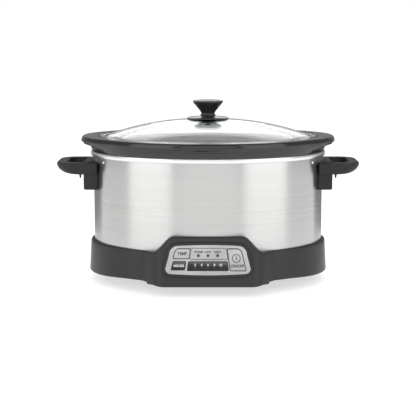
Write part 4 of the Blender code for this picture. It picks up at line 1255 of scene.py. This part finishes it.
def printed_word(name, words, height, s, t, n, body, mat_key, slot):
    """A printed word or number, centred at (s, t) on the panel."""
    data = bpy.data.curves.new(name, "FONT")
    data.body = words
    data.align_x = "CENTER"
    data.extrude = 0.01
    data.offset = 0.035
    data.resolution_u = 3
    maker = bpy.data.objects.new(name + "_maker", data)
    bpy.context.scene.collection.objects.link(maker)
    graph = bpy.context.evaluated_depsgraph_get()
    mesh = bpy.data.meshes.new_from_object(maker.evaluated_get(graph))
    bpy.data.objects.remove(maker, do_unlink=True)
    xs = [v.co.x for v in mesh.vertices]
    ys = [v.co.y for v in mesh.vertices]
    scale = height / (max(ys) - min(ys))
    middle = Vector(((max(xs) + min(xs)) / 2, (max(ys) + min(ys)) / 2, 0))
    place = panel_matrix()
    for vertex in mesh.vertices:
        lift = sizes().mark_height if vertex.co.z > 0 else 0.0
        flat = (vertex.co - middle) * scale
        vertex.co = place @ Vector((s + flat.x * 0.92, t + flat.y, n + lift))
    mesh.materials.clear()
    mesh.materials.append(MATS[mat_key])
    obj = bpy.data.objects.new(name, mesh)
    bpy.context.scene.collection.objects.link(obj)
    return settle(obj, body, slot)


class COOKER_OT_panel(bpy.types.Operator):
    """Build the bezel, plate, keys, window, lamps and printed marks"""
    bl_idname = "cooker.panel"
    bl_label = "Control panel"

    face = 0.3 * MM
    key_face = 0.9 * MM
    window_face = 0.45 * MM

    def execute(self, context):
        self.bezel_and_plate()
        self.window()
        self.key("temp", TEMP_BOX, "silver_plastic")
        self.key("hours", HOURS_BOX, "dark_window")
        self.key("power", POWER_BOX, "silver_plastic")
        self.marks()
        self.lamps()
        return {"FINISHED"}

    def bezel_and_plate(self):
        gap = 0.3 * MM
        section = round_corners([
            (BEZEL_WIDTH, -4.5 * MM, 0.3 * MM), (BEZEL_WIDTH, 0.7 * MM, 0.8 * MM),
            (BEZEL_WIDTH - 1.2 * MM, 1.0 * MM, 0.8 * MM),
            (gap + 0.9 * MM, 1.0 * MM, 0.7 * MM), (gap, 0.3 * MM, 0.5 * MM), (gap, -1.3 * MM, 0.1 * MM),
            (-1.9 * MM, -1.3 * MM, 0.1 * MM), (-1.9 * MM, -4.5 * MM, 0.3 * MM),
        ])
        bezel = skin("panel_bezel", outline_stack(plate_outline, section), MATS["black_plastic"], True,
            panel_matrix())
        settle(bezel, "housing", "black_plastic", "control_bezel")
        section = round_corners([
            (-9 * MM, -1.0 * MM, 0.0), (0.0, -1.0 * MM, 0.2 * MM), (0.0, self.face, 0.35 * MM),
            (-9 * MM, self.face, 0.0),
        ], closed=False)[1:-1]
        plate = skin("silver_plate", outline_stack(plate_outline, section), MATS["silver_plastic"], False,
                     panel_matrix())
        tools = []
        for edges in (TEMP_BOX, HOURS_BOX, POWER_BOX, WINDOW_BOX):
            rings = [[(s, t, n) for s, t in key_outline(edges, grow=0.35 * MM)] for n in (-5 * MM, 5 * MM)]
            tools.append(("DIFFERENCE", skin("slot_tool", rings, None, False, panel_matrix())))
        for s in (-LAMP_SPACING, 0, LAMP_SPACING):
            place = panel_matrix() @ Matrix.Translation((s, LAMP_T, 0))
            tools.append(("DIFFERENCE", round_tool(1.8 * MM, -5 * MM, 5 * MM, place)))
        combine(plate, tools)
        settle(plate, "housing", "silver_plastic", "panel_plate")

    def window(self):
        section = round_corners([
            (-2 * MM, -1.4 * MM, 0.0), (0.0, -1.4 * MM, 0.2 * MM), (0.0, self.window_face, 0.2 * MM),
            (-2 * MM, self.window_face, 0.0),
        ], closed=False)[1:-1]
        rings = [[(s, t, n) for s, t in key_outline(WINDOW_BOX, grow=grow)] for grow, n in section]
        pane = skin("smoked_window", rings, MATS["dark_window"], False, panel_matrix())
        settle(pane, "housing", "dark_window", "hours_window")

    def key(self, word, edges, finish):
        section = round_corners([
            (-0.9 * MM, -2.2 * MM, 0.0), (0.0, -2.2 * MM, 0.2 * MM), (0.0, self.key_face, 0.5 * MM),
            (-0.9 * MM, self.key_face, 0.0),
        ], closed=False)[1:-1]
        rings = [[(s, t, n) for s, t in key_outline(edges, grow=grow)] for grow, n in section]
        cap = skin(f"{word}_keycap", rings, MATS[finish], False, panel_matrix())
        settle(cap, f"{word}_key", finish, f"{word}_button")

    def marks(self):
        width = sizes().line_width
        for word, edges in (("temp", TEMP_BOX), ("power", POWER_BOX), ("lamp", LAMP_BOX)):
            def outline(grow, edges=edges):
                return key_outline(edges, 1.4 * MM, 0.5 * MM + grow)
            frame_line(f"{word}_border", outline, width, self.face, "housing", "ink", "black_plastic")
        mid = (TEMP_BOX[0] + TEMP_BOX[1]) / 2, (TEMP_BOX[2] + TEMP_BOX[3]) / 2
        printed_word("temp_word", "TEMP", 3.8 * MM, mid[0] * 0.955, mid[1], self.key_face, "temp_key",
            "ink",
                     "black_plastic")
        mid = (HOURS_BOX[0] + HOURS_BOX[1]) / 2, (HOURS_BOX[2] + HOURS_BOX[3]) / 2
        printed_word("hours_word", "HOURS", 3.2 * MM, mid[0] * 1.03, mid[1], self.key_face, "hours_key",
            "pale_ink",
                     "silver_plastic")
        for word, order in (("WARM", -1), ("LOW", 0), ("HIGH", 1)):
            printed_word(f"{word.lower()}_word", word, 2.9 * MM, order * LAMP_SPACING, 10.0 * MM,
                self.face, "housing",
                         "ink", "black_plastic")
        for order, hours in enumerate((2, 4, 6, 8, 10)):
            printed_word(f"hour_{hours}_number", str(hours), 3.1 * MM, (order - 2) * HOUR_SPACING, NUMBER_T,
                         self.window_face, "housing", "pale_ink", "silver_plastic")
        centre = Vector((34.2 * MM, 2.2 * MM, self.key_face))
        high = sizes().mark_height
        ring = turned("power_ring",
            [(5.3 * MM, 0, 0), (5.3 * MM, high, 0), (4.3 * MM, high, 0), (4.3 * MM, 0, 0)],
                      MATS["ink"], 72, True, panel_matrix() @ Matrix.Translation(centre))
        settle(ring, "power_key", "black_plastic")
        bar = [[(x, y, z) for x,
            y in ((-0.5 * MM, -2.2 * MM), (0.5 * MM, -2.2 * MM), (0.5 * MM, 2.2 * MM),
                (-0.5 * MM, 2.2 * MM))]
               for z in (0.0, high)]
        stroke = skin("power_stroke", bar, MATS["ink"], False, panel_matrix() @ Matrix.Translation(centre))
        settle(stroke, "power_key", "black_plastic")
        printed_word("power_word", "ON/OFF", 3.7 * MM, 35.6 * MM, -7.0 * MM, self.key_face, "power_key",
            "ink",
                     "black_plastic")

    def lamps(self):
        place = panel_matrix()
        out = (place.to_3x3() @ Vector((0, 0, 1))).normalized()
        rows = [
            ("setting_lamps", [(k * LAMP_SPACING, LAMP_T, 0.25 * MM) for k in (-1, 0, 1)], 1.6 * MM, 1.0,
                0.35,
             ("led_warm", "led_low", "led_high")),
            ("hour_lamps", [((k - 2) * HOUR_SPACING, -9.6 * MM, self.window_face) for k in range(5)],
                1.2 * MM, 0.5, 0.1,
             ()),
        ]
        for name, places, radius, squash, bulge, replaced in rows:
            lens = ball_tree("Lens Row", 32, 1.5 * MM, Y=("Squash", 1.0), Z=("Bulge", 0.3))
            stand_pieces(
                name, lens, [place @ Vector(p) for p in places], [out] * len(places), "housing", "lamp_red",
                replaced, Radius=radius, Squash=squash, Bulge=bulge)


# ---------------------------------------------------------------- stage

def area_light(name, place, target, width, height, power):
    data = bpy.data.lights.new(name, "AREA")
    data.shape = "RECTANGLE"
    data.size = width
    data.size_y = height
    data.energy = power
    obj = bpy.data.objects.new(name, data)
    bpy.context.scene.collection.objects.link(obj)
    obj.location = place
    obj.rotation_euler = (Vector(target) - Vector(place)).to_track_quat("-Z", "Y").to_euler()
    obj.visible_camera = False
    return obj


class COOKER_OT_stage(bpy.types.Operator):
    """Lay the floor, and set the lights, surroundings and camera"""
    bl_idname = "cooker.stage"
    bl_label = "Stage"

    def execute(self, context):
        studio = context.scene.cooker_studio
        self.floor()
        self.surroundings(studio)
        for word, side in (("left", -1), ("right", 1)):
            area_light(
                f"{word}_panel", (side * 1.04, -0.94, 0.45), (0, 0, 0.15), 1.05, 1.5, studio.side_power)
        area_light("front_panel", (0, -2.3, 0.9), (0, 0, 0.12), 1.9, 0.9, studio.front_power)
        area_light("top_panel", (0, 0.5, 1.5), (0, 0, 0.1), 1.8, 1.4, studio.top_power)
        area_light("back_panel", (0, 1.6, 1.0), (0, 0, 0.2), 3.0, 1.1, studio.back_power)
        self.side_flags()
        data = bpy.data.cameras.new("camera")
        data.sensor_width = 36
        data.lens = studio.lens
        camera = bpy.data.objects.new("camera", data)
        context.scene.collection.objects.link(camera)
        camera.location = (0, -studio.distance, studio.height)
        camera.rotation_euler = (math.pi / 2 - studio.pitch, 0, 0)
        context.scene.camera = camera
        context.scene.view_settings.view_transform = "Standard"
        return {"FINISHED"}

    def floor(self):
        floor = skin("floor", [oval(4.0, 4.0, -0.02, 96), oval(4.0, 4.0, 0.0, 96)], None, False)
        mat, tree, shader = bare_material("Studio floor", colours().floor, 0.8, Emission_Strength=0.62)
        shader.inputs["Emission Color"].default_value = (1, 1, 1, 1)
        marks = place_group(mat, GROUPS["handling"], Amount=1.0)
        vary_colour(tree, shader, marks.outputs["Marks"], colours().floor, 0.99, 1.01)
        floor.data.materials.append(mat)

    def side_flags(self):
        """Dark cards beside the cooker that only its reflections see."""
        shade = bpy.context.scene.cooker_studio.flag_shade
        mat = bare_material("Flag card", (shade, shade, shade), 0.9)[0]
        for word, side in (("left", -1), ("right", 1)):
            corners = [(side * 0.44, 0.15), (side * 0.12, 0.44)]
            ring = [(*corners[0], 0.0), (*corners[1], 0.0), (*corners[1], 0.40), (*corners[0], 0.40)]
            back = [(x * 1.01, y * 1.01, z) for x, y, z in ring]
            flag = skin(f"{word}_flag", [ring, back], mat, False)
            for ray in ("camera", "diffuse", "transmission", "shadow"):
                setattr(flag, f"visible_{ray}", False)

    def surroundings(self, studio):
        world = bpy.data.worlds.new("Surroundings")
        bpy.context.scene.world = world
        world.use_nodes = True
        tree = world.node_tree
        sky = tree.nodes["Background"]
        sky.inputs["Color"].default_value = (1, 1, 1, 1)
        path = tree.nodes.new("ShaderNodeLightPath")
        seen = self.choose(tree, path.outputs["Is Camera Ray"], studio.world, 1.0)
        mirrored = self.choose(tree, path.outputs["Is Glossy Ray"], seen, studio.reflected)
        level = self.choose(tree, path.outputs["Is Transmission Ray"], mirrored, 1.0)
        tree.links.new(level, sky.inputs["Strength"])

    def choose(self, tree, factor, off, on):
        mix = tree.nodes.new("ShaderNodeMix")
        tree.links.new(factor, mix.inputs["Factor"])
        for socket, value in zip(mix.inputs[2:4], (off, on)):
            if isinstance(value, float):
                socket.default_value = value
            else:
                tree.links.new(value, socket)
        return mix.outputs["Result"]


# ---------------------------------------------------------------- panel in the sidebar, and the run

OPERATORS = (
    COOKER_OT_shell, COOKER_OT_liner, COOKER_OT_base, COOKER_OT_crock, COOKER_OT_lid, COOKER_OT_handles,
    COOKER_OT_panel, COOKER_OT_stage,
)


class COOKER_PT_sidebar(bpy.types.Panel):
    """Lists the steps that build the slow cooker"""
    bl_idname = "COOKER_PT_sidebar"
    bl_label = "Slow Cooker"
    bl_space_type = "VIEW_3D"
    bl_region_type = "UI"
    bl_category = "Cooker"

    def draw(self, context):
        for operator in OPERATORS:
            self.layout.operator(operator.bl_idname)


CLASSES = (CookerSizes, CookerColours, StudioSettings) + OPERATORS + (COOKER_PT_sidebar,)


def register():
    for item in CLASSES:
        bpy.utils.register_class(item)
    bpy.types.Scene.cooker_sizes = PointerProperty(type=CookerSizes)
    bpy.types.Scene.cooker_colours = PointerProperty(type=CookerColours)
    bpy.types.Scene.cooker_studio = PointerProperty(type=StudioSettings)


def unregister():
    del bpy.types.Scene.cooker_sizes
    del bpy.types.Scene.cooker_colours
    del bpy.types.Scene.cooker_studio
    for item in reversed(CLASSES):
        bpy.utils.unregister_class(item)


def main():
    register()
    make_materials()
    dress_frame_nodes()
    bpy.ops.cooker.shell()
    bpy.ops.cooker.liner()
    bpy.ops.cooker.base()
    bpy.ops.cooker.crock()
    bpy.ops.cooker.lid()
    bpy.ops.cooker.handles()
    bpy.ops.cooker.panel()
    bpy.ops.cooker.stage()


if __name__ == "__main__":
    main()
